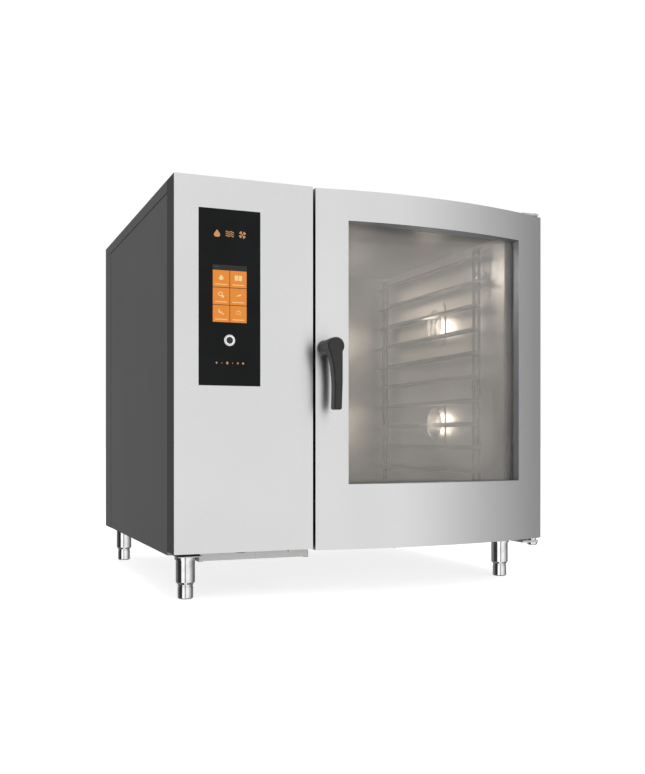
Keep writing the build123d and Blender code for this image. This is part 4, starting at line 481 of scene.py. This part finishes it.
def arc_band(x, z, outer, inner, start=0.0, end=180.0, steps=20):
    """Part of a ring, between two directions in degrees."""
    angles = [math.radians(start + (end - start) * step / steps) for step in range(steps + 1)]
    outside = [(x + outer * math.cos(a), z + outer * math.sin(a)) for a in angles]
    inside = [(x + inner * math.cos(a), z + inner * math.sin(a)) for a in reversed(angles)]
    return outside + inside


def ring(x, z, outer, inner):
    """A whole ring, as two half bands."""
    return [arc_band(x, z, outer, inner, 0.0, 180.0), arc_band(x, z, outer, inner, 180.0, 360.0)]


def disc(x, z, radius, steps=24):
    return [
        (x + radius * math.cos(2 * math.pi * i / steps), z + radius * math.sin(2 * math.pi * i / steps))
        for i in range(steps)
    ]


def drop(x, z, height, steps=28):
    """A water drop with its tip up."""
    points = []
    for step in range(steps):
        turn = 2 * math.pi * step / steps
        across = 0.62 * height * math.sin(turn) * math.sin(turn / 2) ** 1.6
        points.append((x + across, z + 0.5 * height * math.cos(turn)))
    return points


def stroke(start, end, width):
    """A straight bar between two points."""
    along = Vector((end[0] - start[0], end[1] - start[1])).normalized()
    side = Vector((-along.y, along.x)) * width / 2
    return [
        (start[0] + side.x, start[1] + side.y),
        (start[0] - side.x, start[1] - side.y),
        (end[0] - side.x, end[1] - side.y),
        (end[0] + side.x, end[1] + side.y),
    ]


def wave(x, z, width, height, thickness, steps=24):
    """A wavy line."""
    places = [step / steps for step in range(steps + 1)]
    line = [(x + width * (t - 0.5), z + height * math.sin(4 * math.pi * t) / 2) for t in places]
    upper = [(px, pz + thickness / 2) for px, pz in line]
    lower = [(px, pz - thickness / 2) for px, pz in reversed(line)]
    return upper + lower


def add_print(name, outlines, behind, material, body="cabinet", thickness=PRINT):
    """Flat prints with a real edge, on the face at Y behind."""
    mesh = bpy.data.meshes.new(name)
    bm = bmesh.new()
    for outline in outlines:
        back = [bm.verts.new((x, behind, z)) for x, z in outline]
        front = [bm.verts.new((x, behind - thickness, z)) for x, z in outline]
        bm.faces.new(front)
        bm.faces.new(list(reversed(back)))
        for i in range(len(outline)):
            j = (i + 1) % len(outline)
            bm.faces.new((back[i], back[j], front[j], front[i]))
    bmesh.ops.recalc_face_normals(bm, faces=bm.faces)
    bmesh.ops.triangulate(bm, faces=[face for face in bm.faces if len(face.verts) > 4])
    bm.to_mesh(mesh)
    bm.free()
    mesh.materials.append(material)
    piece = bpy.data.objects.new(name, mesh)
    bpy.context.scene.collection.objects.link(piece)
    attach(piece, body)
    return piece


def tile_corner(column, row):
    left = SCREEN_LEFT + column * (TILE_WIDTH + TILE_GAP)
    bottom = SCREEN_BOTTOM + row * (TILE_HEIGHT + TILE_GAP)
    return left, bottom


def tile_icons():
    """Six plain pictograms, one for each tile, from the top left one on."""
    icons = []
    centres = {}
    for column in range(2):
        for row in range(3):
            left, bottom = tile_corner(column, row)
            centres[(column, row)] = (left + 0.5 * TILE_WIDTH, bottom + 0.58 * TILE_HEIGHT)
            caption = bottom + 0.14 * TILE_HEIGHT
            icons.append(rounded(
                left + 0.14 * TILE_WIDTH, caption,
                left + 0.86 * TILE_WIDTH, caption + CAPTION_HEIGHT, 0.0008,
            ))
    x, z = centres[(0, 2)]
    icons += [drop(x, z, 0.014)]
    x, z = centres[(1, 2)]
    icons += [
        rounded(x - 0.0095, z - 0.0065, x - 0.0008, z + 0.0065, 0.001),
        rounded(x + 0.0008, z - 0.0065, x + 0.0095, z + 0.0065, 0.001),
    ]
    x, z = centres[(0, 1)]
    icons += ring(x - 0.002, z + 0.002, 0.0058, 0.0036)
    icons += [disc(x + 0.0042, z - 0.0042, 0.0031)]
    x, z = centres[(1, 1)]
    icons += [[(x - 0.007, z - 0.0028), (x + 0.007, z - 0.0005), (x + 0.0062, z + 0.0042)]]
    x, z = centres[(0, 0)]
    icons += [
        stroke((x - 0.0005, z + 0.0005), (x + 0.0062, z - 0.0058), 0.0028),
        arc_band(x - 0.0028, z + 0.0028, 0.0046, 0.0022, 100.0, 350.0),
    ]
    x, z = centres[(1, 0)]
    icons += [
        arc_band(x, z - 0.001, 0.0062, 0.0048, 10.0, 170.0),
        stroke((x - 0.0068, z - 0.0032), (x + 0.0068, z - 0.0032), 0.0012),
    ]
    return icons


def heat_pictograms():
    """A drop, two waves and a four-bladed fan, the oven's steam, heat and fan modes."""
    middle = (SCREEN_LEFT + SCREEN_RIGHT) / 2
    z = SCREEN_TOP + PICTOGRAM_LIFT
    shapes = [drop(middle - PICTOGRAM_PITCH, z, 0.019)]
    for lift in (-0.0052, 0.0, 0.0052):
        shapes.append(wave(middle, z + lift, 0.021, 0.0028, 0.0021))
    fan_x = middle + PICTOGRAM_PITCH
    for blade in range(4):
        turn = 90.0 * blade
        shapes.append(arc_band(fan_x, z, 0.0094, 0.0034, turn + 12.0, turn + 66.0, 8))
    shapes.append(disc(fan_x, z, 0.0021))
    return shapes


def mode_dots():
    """A row of small marks under the button."""
    left = SCREEN_LEFT + 0.0097
    z = GLASS_LOW.z + DOT_LIFT
    shapes = []
    for place, size in enumerate(DOT_SIZES):
        x = left + place * DOT_PITCH
        shapes.append([(x - size, z), (x, z - 1.2 * size), (x + size, z), (x, z + 1.2 * size)])
    return shapes


def make_prints(materials):
    tiles = []
    for column in range(2):
        for row in range(3):
            left, bottom = tile_corner(column, row)
            tiles.append(rounded(left, bottom, left + TILE_WIDTH, bottom + TILE_HEIGHT, 0.0006, 2))
    screen = rounded(
        SCREEN_LEFT - SCREEN_RIM, SCREEN_BOTTOM - SCREEN_RIM,
        SCREEN_RIGHT + SCREEN_RIM, SCREEN_TOP + STATUS_HEIGHT, 0.001,
    )
    screen_front = GLASS_FRONT - PRINT
    icons_back = screen_front - PRINT
    mark_z = SCREEN_TOP + 0.6 * STATUS_HEIGHT
    marks = []
    for place in range(3):
        x = SCREEN_LEFT + MARK_PITCH * (place + 1)
        marks.append(stroke((x, mark_z), (x + MARK_LENGTH, mark_z), MARK_WIDTH))
    orange, cream = materials["screen_orange"], materials["screen_cream"]
    dark, faint = materials["screen_dark"], materials["screen_faint"]
    copper = materials["copper_print_painted_glow"]
    add_print("screen_panel", [screen], GLASS_FRONT, dark)
    add_print("screen_tiles", tiles, screen_front, orange)
    add_print("screen_icons", tile_icons(), icons_back, cream)
    add_print("screen_marks", marks, screen_front, faint)
    # The pictograms and the marks below carry a painted glow.
    add_print("mode_pictograms", heat_pictograms(), GLASS_FRONT, copper)
    add_print("mode_marks", mode_dots(), GLASS_FRONT, copper)
    low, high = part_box("start_button")
    button_ring = ring((low.x + high.x) / 2, (low.z + high.z) / 2, *BUTTON_RING)
    # The button's printed ring carries a painted glow.
    add_print(
        "button_print", button_ring, low.y, materials["white_print_painted_glow"],
        "start_button", BUTTON_PRINT,
    )


# ---------------------------------------------------------------- painted shade on single faces


def paint_faces(node, material, wanted):
    """Gives the faces of a CAD node that wanted(centre, normal) picks another material, here a painted
    shade.
    """
    mesh = NODES[node].data
    mesh.materials.append(material)
    number = len(mesh.materials) - 1
    for polygon in mesh.polygons:
        if wanted(polygon.center, polygon.normal):
            polygon.material_index = number


PANE_MARGIN = 0.002                       # how far past the pane the window's returns are looked for
RETURN_SHEET = 0.0024                     # the folded side of the fascia lies within this depth


def paint_shade_on_faces(materials):
    """The window's returns and the folded side of the fascia, which lie in their own shade, get a darker
    steel: painted shade.
    """
    glass_low, glass_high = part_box("outer_glass")
    skin_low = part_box("door_skin")[0]
    fascia_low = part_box("control_fascia")[0]

    def in_window(centre, normal):
        inside_x = glass_low.x - PANE_MARGIN < centre.x < glass_high.x + PANE_MARGIN
        inside_z = glass_low.z - PANE_MARGIN < centre.z < glass_high.z + PANE_MARGIN
        return inside_x and inside_z and abs(normal.y) < 0.7 and centre.y > skin_low.y + 0.001

    def on_return(centre, normal):
        return normal.x < -0.7 and centre.x < fascia_low.x + RETURN_SHEET

    # Painted shade and painted reflection on the window's returns, painted shade on the fascia's folded
    # side.
    paint_faces("door_skin", materials["reveal_painted_shade"], in_window)
    paint_faces("control_fascia", materials["return_painted_shade"], on_return)


# ---------------------------------------------------------------- shading and lamps


def smooth_nodes():
    """Soft shading across the round faces and crisp edges elsewhere."""
    for node in NODES.values():
        for polygon in node.data.polygons:
            polygon.use_smooth = True
        node.data.set_sharp_from_angle(angle=math.radians(28.0))


LENS_RADIUS = 0.056
LAMP_REACH = 0.03                         # the light stands this far in front of its lens
LAMP_WATTS = 0.5
LAMP_COLOUR = (1.0, 0.94, 0.85)


def light_lamps():
    """Glowing bulbs, and the light that they throw along the oven's right wall."""
    bulb = glowing("bulb_glow", (1.0, 0.95, 0.86), 22.0)
    NODES["lamp_bulbs"].data.materials.clear()
    NODES["lamp_bulbs"].data.materials.append(bulb)
    low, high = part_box("lamp_lenses")
    for number, z in enumerate((low.z + LENS_RADIUS, high.z - LENS_RADIUS)):
        data = bpy.data.lights.new(f"oven_lamp_{number}", "POINT")
        data.energy = LAMP_WATTS
        data.color = LAMP_COLOUR
        data.shadow_soft_size = 0.04
        lamp = bpy.data.objects.new(f"oven_lamp_{number}", data)
        bpy.context.scene.collection.objects.link(lamp)
        lamp.location = (low.x - LAMP_REACH, (low.y + high.y) / 2, z)


ROOM_FILL_SIZE = (0.34, 0.5)
ROOM_FILL_WATTS = 6.5
ROOM_FILL_COLOUR = (1.0, 0.97, 0.93)


def light_room():
    """Soft light in the top of the oven, so that the racks stand out against its walls."""
    low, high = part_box("left_rack")
    right_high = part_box("right_rack")[1]
    middle = ((low.x + right_high.x) / 2, (low.y + high.y) / 2, high.z + 0.02)
    below = (middle[0] + 0.12, middle[1], low.z)
    make_area_light("room_fill", middle, below, ROOM_FILL_SIZE, ROOM_FILL_WATTS, ROOM_FILL_COLOUR)


bpy.context.scene.view_settings.view_transform = "Standard"
make_camera()
make_world()
make_floor()
make_lights()
materials = make_materials()
dress_nodes(materials)
smooth_nodes()
light_lamps()
light_room()
make_prints(materials)
paint_shade_on_faces(materials)
